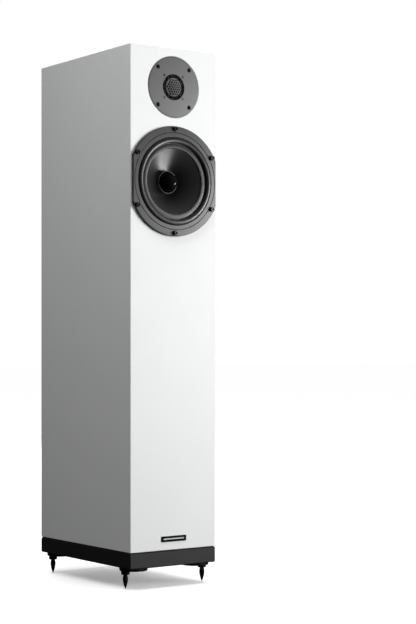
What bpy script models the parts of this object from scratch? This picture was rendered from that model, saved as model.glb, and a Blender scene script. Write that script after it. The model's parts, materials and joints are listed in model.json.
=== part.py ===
"""Floorstanding two-way loudspeaker on a plinth with four spikes.

The front faces -Y, +X is to the right seen from the front, +Z is up. The origin is on the floor,
under the middle of the whole object's box. All sizes below are in millimetres, and the mesh
builders turn them into metres.
"""

import math

import bmesh
import bpy
from mathutils import Vector

MM = 0.001
GAP = 0.3  # clearance between two pieces that touch
OVERSHOOT = 1.0  # how far a cutting tool reaches past the surface it cuts

# How many flat sides stand in for a circle
plate_steps = 40
woofer_steps = 36
motor_steps = 32
disc_steps = 28
dome_steps = 24
nut_steps = 20
post_steps = 16
screw_steps = 12
pilot_steps = 8
hexagon_steps = 6

# Cabinet
cabinet_width = 180.0
cabinet_depth = 305.0
cabinet_height = 875.0
side_thickness = 16.0
baffle_thickness = 22.0
back_thickness = 18.0

# Plinth, discs, lock nuts and spikes
plinth_height = 28.2
plinth_edge = 2.0
plinth_edge_share = 0.3  # where the lower edge's bend lies, as a share of the edge
floor_clearance = 37.3
disc_radius = 24.7
disc_thickness = 5.0
disc_chamfer = 0.8
disc_side_inset = 25.0
disc_end_inset = 28.5
spike_side_inset = 8.6
spike_end_inset = 29.0
nut_radius = 7.5
nut_height = 6.0
nut_chamfer = 0.7
stud_radius = 3.8
stud_length = 22.0
stud_clearance = 0.5
stud_end_clearance = 2.0
spike_bulge = 4.7
spike_shoulder_radius = 3.5
spike_tip_radius = 0.8
# From the shoulder to the tip: a share of that length, and the radius there as a share of the bulge
spike_profile = ((0.27, 1.0), (0.52, 0.82), (0.76, 0.5))

# Tweeter, measured from its axis and from the front face inwards
tweeter_below_top = 67.5
tweeter_radius = 53.5
tweeter_plate_thickness = 5.0
guard_radius = 23.0
guard_dome_radius = 15.75
guard_dome_height = 4.0
guard_sheet = 0.6
dome_arcs = 4  # straight pieces along a dome's outline, from edge to middle
guard_seat_depth = 1.5
throat_radius = 16.2
dome_radius = 12.6
dome_rise = 4.2
dome_edge_depth = 5.0
dome_wall = 0.35
tweeter_coil_length = 5.0
tweeter_motor_radius = 35.0
tweeter_motor_length = 18.0
tweeter_motor_clearance = 3.0
tweeter_gap_radius = 0.9
tweeter_gap_reach = 3.0  # how far the gap goes on behind the coil
chamber_radius = 33.0
chamber_length = 20.0
chamber_chamfer = 3.0
tweeter_screw_circle = 46.5
tweeter_screw_count = 4
tweeter_screw_angle = 45.0
tweeter_head_radius = 3.5
tweeter_head_height = 2.0
tweeter_shank_radius = 1.6
tweeter_screw_length = 16.0

# Woofer, measured in the same way
woofer_below_top = 232.0
flange_overhang = 6.0  # how far the round flange would pass the cabinet's side
flange_side_margin = 3.2  # from the flange's flat to the cabinet's side
flange_thickness = 5.2
flange_rim = 11.0
recess_floor = 1.2
seat_width = 8.0
roll_width = 10.5
roll_height = 5.0
roll_arcs = 6
land_width = 9.5
surround_sheet = 1.0
crest_share = 0.2  # extra thickness at the roll's crest, as a share of the sheet
cone_depth = 19.5
cone_wall = 1.2
cone_flare = 0.12
cone_rings = 4
cone_rim_margin = 1.0
coil_radius = 19.2
coil_wall = 0.7
coil_winding = 0.8
coil_overhang = 3.0  # how far the winding passes the front plate at each end
spider_depth = 36.0
spider_sheet = 0.8
spider_wave = 1.4
spider_waves = 3
spider_outer = 44.0
chassis_depth = 53.7
chassis_back_radius = 52.0
chassis_wall_margin = 1.5
basket_wall = 3.5
basket_bend = 8.0
basket_inner_bend = 10.0
shelf_outer_margin = 2.0
shelf_inner_margin = 4.0
motor_seat_thickness = 4.0
motor_seat_margin = 10.0
motor_seat_taper = 1.0
basket_legs = 6
window_front = 11.0
window_back_margin = 3.0
window_share = 0.3  # half width of a basket window, as a share of its shelf's radius
plug_radius = 15.8
plug_length = 22.0
plug_tip_depth = 3.0  # behind the flange's front
plug_arcs = 7
pole_clearance = 0.6
gap_clearance = 0.6
top_plate_thickness = 8.0
magnet_radius = 52.0
magnet_bore = 27.0
magnet_thickness = 20.0
pole_plate_thickness = 10.0
plate_inset = 2.0  # how much smaller in radius the steel plates are than the magnet
woofer_screw_inset = 5.5
woofer_screw_count = 6
woofer_screw_angle = 90.0
woofer_head_radius = 4.25
woofer_head_height = 4.0
woofer_shank_radius = 2.2
woofer_screw_length = 20.0
screw_clearance = 0.3
hex_share = 0.55  # socket size as a share of a screw head's radius
hex_depth_share = 0.6
head_chamfer_share = 0.12

# Badge
badge_width = 52.5
badge_height = 10.0
badge_thickness = 0.8
badge_chamfer = 0.2
badge_above_bottom = 19.5

# Back: terminal plate, binding posts, port and crossover
terminal_above_bottom = 130.0
terminal_width = 84.0
terminal_height = 60.0
terminal_thickness = 3.0
terminal_lip = 10.0
post_spacing = 38.0
post_flange_radius = 8.0
post_flange_thickness = 3.0
post_shaft_radius = 3.2
post_shaft_length = 18.0
post_tail_radius = 2.5
banana_radius = 2.1
banana_depth = 14.0
washer_thickness = 2.0
washer_radius = 7.5
knob_radius = 8.5
knob_length = 19.0
knob_end_wall = 3.0
knob_chamfer = 1.0
knob_flutes = 6
flute_radius = 0.9
flute_start = 3.0
flute_offset_share = 0.4
thread_clearance = 0.4
port_above_bottom = 24.0
port_side_margin = 10.0
port_outer_height = 42.0
port_wall = 4.0
port_length = 95.0
board_width = 110.0
board_height = 90.0
board_thickness = 1.6
board_standoff = 12.0
pillar_radius = 3.0
pillar_inset = 7.0
inductor_radius = 20.0
inductor_bore = 8.0
inductor_height = 18.0
capacitor_radius = 9.0
capacitor_length = 34.0
component_offset = 26.0

# Bracing, damping and wiring
brace_below_woofer = 210.0
brace_frame = 30.0
pad_thickness = 25.0
pad_side_margin = 9.0
pad_end_margin = 30.0
lead_diameter = 5.0
lead_spacing = 24.0
lead_inset = 12.0  # from the filter board's upper edge

# Places that follow from the sizes above
half_width = cabinet_width / 2
plinth_bottom = floor_clearance
plinth_top = plinth_bottom + plinth_height
cabinet_bottom = plinth_top + GAP
cabinet_top = cabinet_bottom + cabinet_height
woofer_front = flange_thickness + GAP
front_reach = woofer_front + GAP + woofer_head_height
washer_start = post_flange_thickness + 2 * GAP
knob_start = washer_start + washer_thickness + GAP
back_reach = terminal_thickness + GAP + knob_start + knob_length
front_y = front_reach - (front_reach + cabinet_depth + back_reach) / 2
back_y = front_y + cabinet_depth
middle_y = front_y + cabinet_depth / 2
inner_front = front_y + baffle_thickness + GAP
inner_back = back_y - back_thickness - GAP
inner_half = half_width - side_thickness - GAP
inner_top = cabinet_top - side_thickness - GAP
tweeter_z = cabinet_top - tweeter_below_top
woofer_z = cabinet_top - woofer_below_top
terminal_z = cabinet_bottom + terminal_above_bottom
terminal_face = back_y + GAP + terminal_thickness
board_back = inner_back - board_standoff
brace_z = woofer_z - brace_below_woofer
woofer_radius = half_width + flange_overhang
recess_radius = woofer_radius - flange_rim
roll_outer = recess_radius - seat_width
roll_inner = roll_outer - roll_width
land_inner = roll_inner - land_width
chassis_radius = roll_outer - chassis_wall_margin
spike_top = floor_clearance - disc_thickness - nut_height - 3 * GAP

# Directions: a turned piece's own axis points this way
UP = (0.0, 0.0, 0.0)
INWARD = (-math.pi / 2, 0.0, 0.0)
ACROSS = (0.0, math.pi / 2, 0.0)

CORNERS = {"front_left": (-1, -1), "front_right": (1, -1), "rear_left": (-1, 1), "rear_right": (1, 1)}


# ---------------------------------------------------------------- materials

def material(name, colour, roughness, metallic=0.0):
    """A Principled material, made once for each name."""
    made = bpy.data.materials.get(name)
    if made:
        return made
    made = bpy.data.materials.new(name)
    made.use_nodes = True
    shader = made.node_tree.nodes["Principled BSDF"]
    shader.inputs["Base Color"].default_value = (*colour, 1.0)
    shader.inputs["Roughness"].default_value = roughness
    shader.inputs["Metallic"].default_value = metallic
    made.diffuse_color = (*colour, 1.0)
    return made


def white_lacquer():
    return material("white_lacquer", (0.84, 0.85, 0.84), 0.35)


def raw_board():
    return material("raw_board", (0.42, 0.30, 0.19), 0.85)


def plinth_paint():
    return material("plinth_paint", (0.03, 0.03, 0.032), 0.35)


def black_steel():
    return material("black_steel", (0.02, 0.02, 0.02), 0.3, 0.6)


def grey_plate():
    return material("grey_plate", (0.13, 0.13, 0.135), 0.5)


def guard_mesh():
    return material("guard_mesh", (0.06, 0.06, 0.06), 0.4, 0.7)


def black_rubber():
    return material("black_rubber", (0.03, 0.03, 0.03), 0.55)


def cone_polymer():
    return material("cone_polymer", (0.025, 0.025, 0.028), 0.4)


def plug_black():
    return material("plug_black", (0.015, 0.015, 0.015), 0.12)


def coated_fabric():
    return material("coated_fabric", (0.55, 0.42, 0.2), 0.8)


def copper():
    return material("copper", (0.72, 0.36, 0.2), 0.35, 1.0)


def plated_steel():
    return material("plated_steel", (0.6, 0.6, 0.6), 0.35, 1.0)


def ferrite():
    return material("ferrite", (0.04, 0.04, 0.045), 0.6)


def moulded_black():
    return material("moulded_black", (0.02, 0.02, 0.02), 0.5)


def plated_brass():
    return material("plated_brass", (0.8, 0.62, 0.3), 0.25, 1.0)


def circuit_board():
    return material("circuit_board", (0.03, 0.16, 0.07), 0.5)


def felt():
    return material("felt", (0.2, 0.2, 0.21), 0.95)


def wire_jacket():
    return material("wire_jacket", (0.5, 0.08, 0.06), 0.5)


# ---------------------------------------------------------------- mesh builders

def clear_scene():
    for old in list(bpy.data.objects):
        bpy.data.objects.remove(old, do_unlink=True)


def add_object(name, shape, finish, location=(0, 0, 0), rotation=UP):
    """Turns a bmesh in millimetres into an object in metres at its place."""
    bmesh.ops.scale(shape, vec=(MM, MM, MM), verts=shape.verts)
    bmesh.ops.remove_doubles(shape, verts=shape.verts, dist=1e-6)
    bmesh.ops.recalc_face_normals(shape, faces=shape.faces)
    mesh = bpy.data.meshes.new(name)
    shape.to_mesh(mesh)
    shape.free()
    mesh.materials.append(finish)
    made = bpy.data.objects.new(name, mesh)
    bpy.context.scene.collection.objects.link(made)
    made.location = Vector(location) * MM
    made.rotation_euler = rotation
    return made


def block(name, low, high, finish):
    """A box between two corners."""
    size = [top - bottom for bottom, top in zip(low, high)]
    middle = [(top + bottom) / 2 for bottom, top in zip(low, high)]
    shape = bmesh.new()
    bmesh.ops.create_cube(shape, size=1.0)
    bmesh.ops.scale(shape, vec=size, verts=shape.verts)
    return add_object(name, shape, finish, middle)


def turned(name, outline, steps, finish, centre, rotation):
    """Spins an outline of (radius, distance along the axis) points, closed by itself or by the axis."""
    on_axis = outline[0][0] == 0 and outline[-1][0] == 0
    shape = bmesh.new()
    points = [shape.verts.new((radius, 0.0, along)) for radius, along in outline]
    ends = points[1:] if on_axis else points[1:] + points[:1]
    edges = [shape.edges.new(pair) for pair in zip(points, ends)]
    bmesh.ops.spin(
        shape, geom=points + edges, cent=(0, 0, 0), axis=(0, 0, 1), dvec=(0, 0, 0),
        angle=2 * math.pi, steps=steps, use_merge=True,
    )
    made = add_object(name, shape, finish, centre, rotation)
    made.data.shade_smooth()
    made.data.set_sharp_from_angle(angle=math.radians(35))
    return made


def cylinder(name, radius, start, end, steps, finish, centre, rotation):
    outline = [(0, start), (radius, start), (radius, end), (0, end)]
    return turned(name, outline, steps, finish, centre, rotation)


def stacked(name, levels, finish, centre):
    """A block built up from rectangles of (half width, half depth, height)."""
    shape = bmesh.new()
    loops = []
    for half_x, half_y, height in levels:
        corners = ((-half_x, -half_y), (half_x, -half_y), (half_x, half_y), (-half_x, half_y))
        loops.append([shape.verts.new((x, y, height)) for x, y in corners])
    shape.faces.new(loops[0])
    shape.faces.new(loops[-1])
    for lower, upper in zip(loops, loops[1:]):
        for i in range(4):
            j = (i + 1) % 4
            shape.faces.new((lower[i], lower[j], upper[j], upper[i]))
    return add_object(name, shape, finish, centre)


def combine(target, tools, operation):
    """Cuts the tools from the target or joins them to it, all in one step, and hides the tools."""
    group = bpy.data.collections.new(f"{target.name}_{operation.lower()}_tools")
    bpy.context.scene.collection.children.link(group)
    for tool in tools:
        bpy.context.scene.collection.objects.unlink(tool)
        group.objects.link(tool)
        tool.hide_render = True
        tool.display_type = "WIRE"
    step = target.modifiers.new(operation.lower(), "BOOLEAN")
    step.operation = operation
    step.solver = "EXACT"
    step.operand_type = "COLLECTION"
    step.collection = group


def cut(target, *tools):
    combine(target, tools, "DIFFERENCE")


def join(target, *tools):
    combine(target, tools, "UNION")


def arc(centre, radius, start, end, count):
    """Points on an arc, angles in degrees, as (radius, along) pairs."""
    points = []
    for i in range(count + 1):
        angle = math.radians(start + (end - start) * i / count)
        points.append((centre[0] + radius * math.cos(angle), centre[1] + radius * math.sin(angle)))
    return points


def smooth_route(points, spacing):
    """Points read every spacing along a Catmull-Rom curve through the given ones."""
    places = [Vector(p) for p in points]
    places = [places[0] * 2 - places[1]] + places + [places[-1] * 2 - places[-2]]
    route = []
    for a, b, c, d in zip(places, places[1:], places[2:], places[3:]):
        parts = max(1, round((c - b).length / spacing))
        for i in range(parts):
            t = i / parts
            route.append(
                0.5 * (2 * b + (c - a) * t + (2 * a - 5 * b + 4 * c - d) * t ** 2
                       + (3 * b - a - 3 * c + d) * t ** 3)
            )
    route.append(places[-2])
    return route


def lead(name, points):
    """A round insulated cable along a smooth route."""
    curve = bpy.data.curves.new(name, "CURVE")
    curve.dimensions = "3D"
    curve.bevel_depth = lead_diameter / 2 * MM
    curve.bevel_resolution = 2
    curve.use_fill_caps = True
    route = smooth_route(points, lead_spacing)
    spline = curve.splines.new("POLY")
    spline.points.add(len(route) - 1)
    for point, place in zip(spline.points, route):
        point.co = (*(place * MM), 1.0)
    curve.materials.append(wire_jacket())
    made = bpy.data.objects.new(name, curve)
    bpy.context.scene.collection.objects.link(made)
    return made


# ---------------------------------------------------------------- cabinet

def ring_places(radius, count, first_angle):
    """Places on a circle as (across, up), counted from first_angle in degrees."""
    angles = [math.radians(first_angle + 360 * i / count) for i in range(count)]
    return [(radius * math.cos(angle), radius * math.sin(angle)) for angle in angles]


def woofer_screw_places():
    return ring_places(woofer_radius - woofer_screw_inset, woofer_screw_count, woofer_screw_angle)


def tweeter_screw_places():
    return ring_places(tweeter_screw_circle, tweeter_screw_count, tweeter_screw_angle)


def build_baffle():
    baffle = block(
        "front_baffle", (-half_width, front_y, cabinet_bottom),
        (half_width, front_y + baffle_thickness, cabinet_top), white_lacquer(),
    )
    woofer_hole = cylinder(
        "woofer_opening", chassis_radius + screw_clearance + GAP, -OVERSHOOT,
        baffle_thickness + OVERSHOOT, woofer_steps, raw_board(), (0, front_y, woofer_z), INWARD,
    )
    rebate = tweeter_radius + GAP
    floor = tweeter_plate_thickness + GAP
    opening = tweeter_motor_radius + tweeter_motor_clearance
    through = baffle_thickness + OVERSHOOT
    tweeter_hole = turned(
        "tweeter_opening",
        [
            (0, -OVERSHOOT), (rebate, -OVERSHOOT), (rebate, floor), (opening, floor),
            (opening, through), (0, through),
        ],
        plate_steps, raw_board(), (0, front_y, tweeter_z), INWARD,
    )
    patterns = [
        ("woofer_pilot", woofer_screw_places(), woofer_z, woofer_shank_radius, -OVERSHOOT,
         woofer_screw_length - woofer_front + GAP),
        ("tweeter_pilot", tweeter_screw_places(), tweeter_z, tweeter_shank_radius,
         tweeter_plate_thickness - OVERSHOOT, tweeter_screw_length + OVERSHOOT),
    ]
    pilots = []
    for name, places, height, radius, start, end in patterns:
        for i, (x, z) in enumerate(places):
            pilots.append(cylinder(
                f"{name}_{i}", radius + screw_clearance, start, end, pilot_steps, raw_board(),
                (x, front_y, height + z), INWARD,
            ))
    cut(baffle, woofer_hole, tweeter_hole, *pilots)


def build_back():
    back = block(
        "back_panel", (-half_width, back_y - back_thickness, cabinet_bottom),
        (half_width, back_y, cabinet_top), white_lacquer(),
    )
    half_opening = terminal_width / 2 - terminal_lip
    half_tall = terminal_height / 2 - terminal_lip
    terminal_hole = block(
        "terminal_opening", (-half_opening, inner_back - OVERSHOOT, terminal_z - half_tall),
        (half_opening, back_y + OVERSHOOT, terminal_z + half_tall), raw_board(),
    )
    low, high = port_box()
    port_hole = block(
        "port_opening", (low[0] - GAP, inner_back - OVERSHOOT, low[2] - GAP),
        (high[0] + GAP, back_y + OVERSHOOT, high[2] + GAP), raw_board(),
    )
    cut(back, terminal_hole, port_hole)


def build_shell():
    side_low_y = front_y + baffle_thickness + GAP
    side_high_y = back_y - back_thickness - GAP
    for name, sign in (("left_side_panel", -1), ("right_side_panel", 1)):
        edges = sorted((sign * half_width, sign * (half_width - side_thickness)))
        block(
            name, (edges[0], side_low_y, cabinet_bottom), (edges[1], side_high_y, cabinet_top),
            white_lacquer(),
        )
    for name, low, high in (
        ("top_panel", cabinet_top - side_thickness, cabinet_top),
        ("bottom_panel", cabinet_bottom, cabinet_bottom + side_thickness),
    ):
        block(name, (-inner_half, side_low_y, low), (inner_half, side_high_y, high), white_lacquer())


def build_brace():
    """A shelf across the inside with one large opening for air and wiring."""
    low, high = brace_z - side_thickness / 2, brace_z + side_thickness / 2
    brace = block(
        "cabinet_brace", (-inner_half, inner_front, low), (inner_half, inner_back, high), raw_board(),
    )
    cut(brace, block(
        "brace_opening", (-inner_half + brace_frame, inner_front + brace_frame, low - OVERSHOOT),
        (inner_half - brace_frame, inner_back - brace_frame, high + OVERSHOOT), raw_board(),
    ))


def build_damping_pad():
    half = inner_half - pad_side_margin
    block(
        "damping_pad", (-half, inner_back - pad_thickness, brace_z + pad_end_margin),
        (half, inner_back, inner_top - pad_end_margin), felt(),
    )


def build_badge():
    middle = cabinet_bottom + badge_above_bottom
    stacked(
        "badge_plate",
        [
            (badge_width / 2, badge_height / 2, 0),
            (badge_width / 2, badge_height / 2, badge_thickness - badge_chamfer),
            (badge_width / 2 - badge_chamfer, badge_height / 2 - badge_chamfer, badge_thickness),
        ],
        plug_black(), (0, front_y - GAP, middle),
    ).rotation_euler = (math.pi / 2, 0, 0)


# ---------------------------------------------------------------- plinth and feet

def spike_place(side, end):
    return (
        side * (half_width - spike_side_inset),
        middle_y + end * (cabinet_depth / 2 - spike_end_inset),
    )


def disc_place(side, end):
    return (
        side * (half_width - disc_side_inset),
        middle_y + end * (cabinet_depth / 2 - disc_end_inset),
    )


def build_plinth():
    half_depth = cabinet_depth / 2
    bend = plinth_edge * plinth_edge_share
    plinth = stacked(
        "plinth",
        [
            (half_width - plinth_edge, half_depth - plinth_edge, 0),
            (half_width - bend, half_depth - bend, bend),
            (half_width, half_depth, plinth_edge),
            (half_width, half_depth, plinth_height - plinth_edge),
            (half_width - plinth_edge, half_depth - plinth_edge, plinth_height),
        ],
        plinth_paint(), (0, middle_y, plinth_bottom),
    )
    hole_depth = spike_top + stud_length - plinth_bottom + stud_end_clearance
    radius = stud_radius + stud_clearance + GAP
    holes = []
    for name, corner in CORNERS.items():
        place = (*spike_place(*corner), plinth_bottom)
        holes.append(cylinder(
            f"stud_hole_{name}", radius, -OVERSHOOT, hole_depth, screw_steps, black_steel(), place, UP,
        ))
    cut(plinth, *holes)


def build_foot(name, corner):
    """A disc under the plinth, and a lock nut and a spike on the stud that passes through it."""
    disc_x, disc_y = disc_place(*corner)
    spike_x, spike_y = spike_place(*corner)
    disc_top = plinth_bottom - GAP
    disc = turned(
        f"foot_disc_{name}",
        [
            (0, 0), (disc_radius, 0), (disc_radius, -disc_thickness + disc_chamfer),
            (disc_radius - disc_chamfer, -disc_thickness), (0, -disc_thickness),
        ],
        disc_steps, black_steel(), (disc_x, disc_y, disc_top), UP,
    )
    clearance = stud_radius + stud_clearance
    cut(disc, cylinder(
        f"disc_hole_{name}", clearance, -disc_thickness - OVERSHOOT, OVERSHOOT, screw_steps, black_steel(),
        (spike_x, spike_y, disc_top), UP,
    ))
    turned(
        f"lock_nut_{name}",
        [
            (clearance, 0), (nut_radius, 0), (nut_radius, nut_chamfer - nut_height),
            (nut_radius - nut_chamfer, -nut_height), (clearance, -nut_height),
        ],
        nut_steps, black_steel(), (spike_x, spike_y, spike_top + GAP + nut_height), UP,
    )
    belly = [(spike_bulge * width, spike_top * (1 - share)) for share, width in spike_profile]
    turned(
        f"spike_{name}",
        [
            (0, spike_top + stud_length), (stud_radius, spike_top + stud_length),
            (stud_radius, spike_top), (spike_shoulder_radius, spike_top), *belly,
            (spike_tip_radius, 0), (0, 0),
        ],
        post_steps, black_steel(), (spike_x, spike_y, 0), UP,
    )


# ---------------------------------------------------------------- screws

def socket_screw(name, head_radius, head_height, shank_radius, length, place, finish):
    """A screw along the axis into the cabinet. Its head starts at its place, and has a hexagonal socket."""
    chamfer = head_height * head_chamfer_share
    screw = turned(
        name,
        [
            (0, 0), (head_radius - chamfer, 0), (head_radius, chamfer), (head_radius, head_height),
            (shank_radius, head_height), (shank_radius, length), (0, length),
        ],
        screw_steps, finish, place, INWARD,
    )
    socket = cylinder(
        f"{name}_socket", head_radius * hex_share, -OVERSHOOT, head_height * hex_depth_share,
        hexagon_steps, finish, place, INWARD,
    )
    cut(screw, socket)


def build_woofer_screws():
    head_front = front_y - woofer_front - GAP - woofer_head_height
    for i, (x, z) in enumerate(woofer_screw_places()):
        socket_screw(
            f"woofer_screw_{i + 1}", woofer_head_radius, woofer_head_height, woofer_shank_radius,
            woofer_head_height + woofer_screw_length, (x, head_front, woofer_z + z), black_steel(),
        )


def build_tweeter_screws():
    for i, (x, z) in enumerate(tweeter_screw_places()):
        socket_screw(
            f"tweeter_screw_{i + 1}", tweeter_head_radius, tweeter_head_height, tweeter_shank_radius,
            tweeter_screw_length, (x, front_y + GAP, tweeter_z + z), black_steel(),
        )


# ---------------------------------------------------------------- tweeter

def build_tweeter():
    centre = (0, front_y, tweeter_z)
    plate = turned(
        "tweeter_faceplate",
        [
            (throat_radius, guard_seat_depth), (guard_radius + GAP, guard_seat_depth),
            (guard_radius + GAP, 0), (tweeter_radius, 0),
            (tweeter_radius, tweeter_plate_thickness), (throat_radius, tweeter_plate_thickness),
        ],
        plate_steps, grey_plate(), centre, INWARD,
    )
    head = tweeter_head_radius + screw_clearance
    step = tweeter_head_height + 2 * GAP
    shank = tweeter_shank_radius + screw_clearance
    through = tweeter_plate_thickness + OVERSHOOT
    bores = []
    for i, (x, z) in enumerate(tweeter_screw_places()):
        bores.append(turned(
            f"plate_bore_{i}",
            [
                (0, -OVERSHOOT), (head, -OVERSHOOT), (head, step), (shank, step),
                (shank, through), (0, through),
            ],
            post_steps, grey_plate(), (x, front_y, tweeter_z + z), INWARD,
        ))
    cut(plate, *bores)
    build_guard(centre)
    build_dome(centre)
    build_tweeter_motor(centre)


def cap_arc(radius, rise, edge, count):
    """The outline of a shallow dome, from its edge to its middle. The middle is rise in front of the edge."""
    sphere = (radius ** 2 + rise ** 2) / (2 * rise)
    half_angle = math.asin(radius / sphere)
    points = []
    for i in range(count + 1):
        angle = half_angle * (1 - i / count)
        points.append((sphere * math.sin(angle), edge + sphere - rise - sphere * math.cos(angle)))
    points[-1] = (0, edge - rise)
    return points


def build_guard(centre):
    """The protective sheet over the dome: a flat brim in the plate's seat, and a raised middle."""
    front = guard_seat_depth - GAP - guard_sheet
    back = guard_seat_depth - GAP
    outer = cap_arc(guard_dome_radius, guard_dome_height, front, dome_arcs)
    inner = cap_arc(guard_dome_radius - guard_sheet, guard_dome_height, back, dome_arcs)
    outline = outer[::-1] + [(guard_radius, front), (guard_radius, back)] + inner
    turned("tweeter_guard", outline, disc_steps, guard_mesh(), centre, INWARD)


def build_dome(centre):
    """The dome with its voice coil's former, and the half roll that holds it."""
    outer = cap_arc(dome_radius, dome_rise, dome_edge_depth, dome_arcs)
    inner = cap_arc(dome_radius - dome_wall, dome_rise, dome_edge_depth + dome_wall, dome_arcs)
    coil_end = tweeter_plate_thickness + 4 * GAP + tweeter_coil_length
    former = [(dome_radius, coil_end), (dome_radius - dome_wall, coil_end)]
    turned("tweeter_dome", outer[::-1] + former + inner, dome_steps, coated_fabric(), centre, INWARD)
    root = dome_radius + GAP
    middle = (root + throat_radius) / 2
    half = (throat_radius - root) / 2
    edge_depth = tweeter_plate_thickness + GAP
    sheet = 2 * GAP
    crest = arc((middle, edge_depth), half, 180, 360, dome_arcs)
    under = arc((middle, edge_depth + sheet), half - sheet / 2, 360, 180, dome_arcs)
    land = [(guard_radius, edge_depth), (guard_radius, edge_depth + sheet)]
    turned("tweeter_surround", crest + land + under, dome_steps, black_rubber(), centre, INWARD)


def build_tweeter_motor(centre):
    """Pole, magnet and steel cup as one unit, with the voice coil's gap open to the front."""
    front = tweeter_plate_thickness + 4 * GAP
    back = front + tweeter_motor_length
    gap_inner = dome_radius - dome_wall - tweeter_gap_radius
    gap_outer = dome_radius + tweeter_gap_radius
    gap_end = front + tweeter_coil_length + tweeter_gap_reach
    turned(
        "tweeter_motor",
        [
            (0, front), (gap_inner, front), (gap_inner, gap_end), (gap_outer, gap_end),
            (gap_outer, front), (tweeter_motor_radius, front), (tweeter_motor_radius, back), (0, back),
        ],
        motor_steps, plated_steel(), centre, INWARD,
    )
    start = back + GAP
    end = start + chamber_length
    turned(
        "tweeter_rear_chamber",
        [
            (0, start), (chamber_radius, start), (chamber_radius, end - chamber_chamfer),
            (chamber_radius - chamber_chamfer, end), (0, end),
        ],
        dome_steps, moulded_black(), centre, INWARD,
    )


# ---------------------------------------------------------------- woofer

def build_woofer():
    centre = (0, front_y, woofer_z)
    build_chassis(centre)
    build_woofer_surround(centre)
    build_cone(centre)
    build_spider(centre)
    build_woofer_motor(centre)


def build_chassis(centre):
    """The cast basket: a flange on the baffle, six legs, a shelf for the spider and a seat for the motor."""
    seat = -GAP - recess_floor
    shelf = spider_depth + spider_wave + spider_sheet + GAP
    inner_wall = chassis_radius - basket_wall
    shelf_outer = spider_outer + shelf_outer_margin
    shelf_inner = spider_outer - shelf_inner_margin
    seat_front = chassis_depth - motor_seat_thickness
    seat_bore = coil_radius + motor_seat_margin
    chassis = turned(
        "woofer_chassis",
        [
            (woofer_radius, -GAP), (woofer_radius, -woofer_front), (recess_radius, -woofer_front),
            (recess_radius, seat), (inner_wall, seat), (inner_wall, basket_inner_bend),
            (shelf_outer, shelf), (shelf_inner, shelf), (shelf_inner, seat_front),
            (seat_bore, seat_front), (seat_bore, chassis_depth), (chassis_back_radius, chassis_depth),
            (chassis_back_radius + motor_seat_taper, shelf), (chassis_radius, basket_bend),
            (chassis_radius, -GAP),
        ],
        woofer_steps, moulded_black(), centre, INWARD,
    )
    tools = []
    flat = half_width - flange_side_margin
    reach = woofer_radius + OVERSHOOT
    for name, sign in (("left", -1), ("right", 1)):
        edges = sorted((sign * flat, sign * reach))
        tools.append(block(
            f"flange_flat_{name}", (edges[0], front_y - woofer_front - OVERSHOOT, woofer_z - reach),
            (edges[1], front_y + OVERSHOOT, woofer_z + reach), moulded_black(),
        ))
    for i, (x, z) in enumerate(woofer_screw_places()):
        tools.append(cylinder(
            f"flange_hole_{i}", woofer_shank_radius + screw_clearance, -woofer_front - OVERSHOOT,
            OVERSHOOT, pilot_steps, moulded_black(), (x, front_y, woofer_z + z), INWARD,
        ))
    window_half = window_share * shelf_outer
    for i in range(basket_legs):
        window = block(
            f"basket_window_{i}", (spider_outer, window_front, -window_half),
            (woofer_radius, shelf - window_back_margin, window_half), moulded_black(),
        )
        window.data.transform(window.matrix_basis)
        window.location = Vector(centre) * MM
        window.rotation_euler = (0, 2 * math.pi * i / basket_legs, 0)
        tools.append(window)
    cut(chassis, *tools)


def build_woofer_surround(centre):
    """A rubber half roll between a land glued to the cone and a land in the flange's recess."""
    front = -recess_floor - 2 * GAP - surround_sheet
    back = front + surround_sheet
    middle = (roll_inner + roll_outer) / 2
    half = roll_width / 2
    inner_half_roll = half - surround_sheet
    inner_height = roll_height - surround_sheet * crest_share
    crest = []
    under = []
    for i in range(roll_arcs + 1):
        angle = math.pi * i / roll_arcs
        crest.append((middle - half * math.cos(angle), front - roll_height * math.sin(angle)))
        under.append((middle - inner_half_roll * math.cos(angle), back - inner_height * math.sin(angle)))
    outline = [(land_inner, front)] + crest + [(recess_radius - GAP, front), (recess_radius - GAP, back)]
    outline += under[::-1] + [(land_inner, back)]
    turned("woofer_surround", outline, woofer_steps, black_rubber(), centre, INWARD)


def cone_front(radius):
    """How deep the cone's front lies at a radius: a slightly curved flare from its glued rim to its neck."""
    rim = -recess_floor - GAP
    share = (land_inner - radius) / (land_inner - coil_radius)
    return rim + (cone_depth - rim) * share * (1 + cone_flare * (1 - share))


def build_cone(centre):
    """The cone with its flat glued rim, and the voice coil on its neck."""
    radii = [land_inner + (coil_radius - land_inner) * i / cone_rings for i in range(cone_rings + 1)]
    face = [(radius, cone_front(radius)) for radius in radii]
    rear = [(radius, along + cone_wall) for radius, along in face]
    edge = roll_inner - cone_rim_margin
    rim = [(edge, face[0][1] + cone_wall), (edge, face[0][1])]
    turned("woofer_cone", face + rear[::-1] + rim, woofer_steps, cone_polymer(), centre, INWARD)
    neck = face[-1][1]
    top = neck + cone_wall + GAP
    winding = chassis_depth + GAP - coil_overhang
    end = winding + top_plate_thickness + 2 * coil_overhang
    outer = coil_radius
    inner = coil_radius - coil_wall
    turned(
        "woofer_voice_coil",
        [
            (inner, top), (outer, top), (outer, winding), (outer + coil_winding, winding),
            (outer + coil_winding, end), (inner, end),
        ],
        motor_steps, copper(), centre, INWARD,
    )


def build_spider(centre):
    """The corrugated disc that centres the coil."""
    count = spider_waves * 2
    inner = coil_radius + GAP
    face = []
    for i in range(count + 1):
        radius = inner + (spider_outer - inner) * i / count
        face.append((radius, spider_depth + (spider_wave if i % 2 else 0)))
    rear = [(radius, along + spider_sheet) for radius, along in face]
    turned("woofer_spider", face + rear[::-1], dome_steps, coated_fabric(), centre, INWARD)


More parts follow.
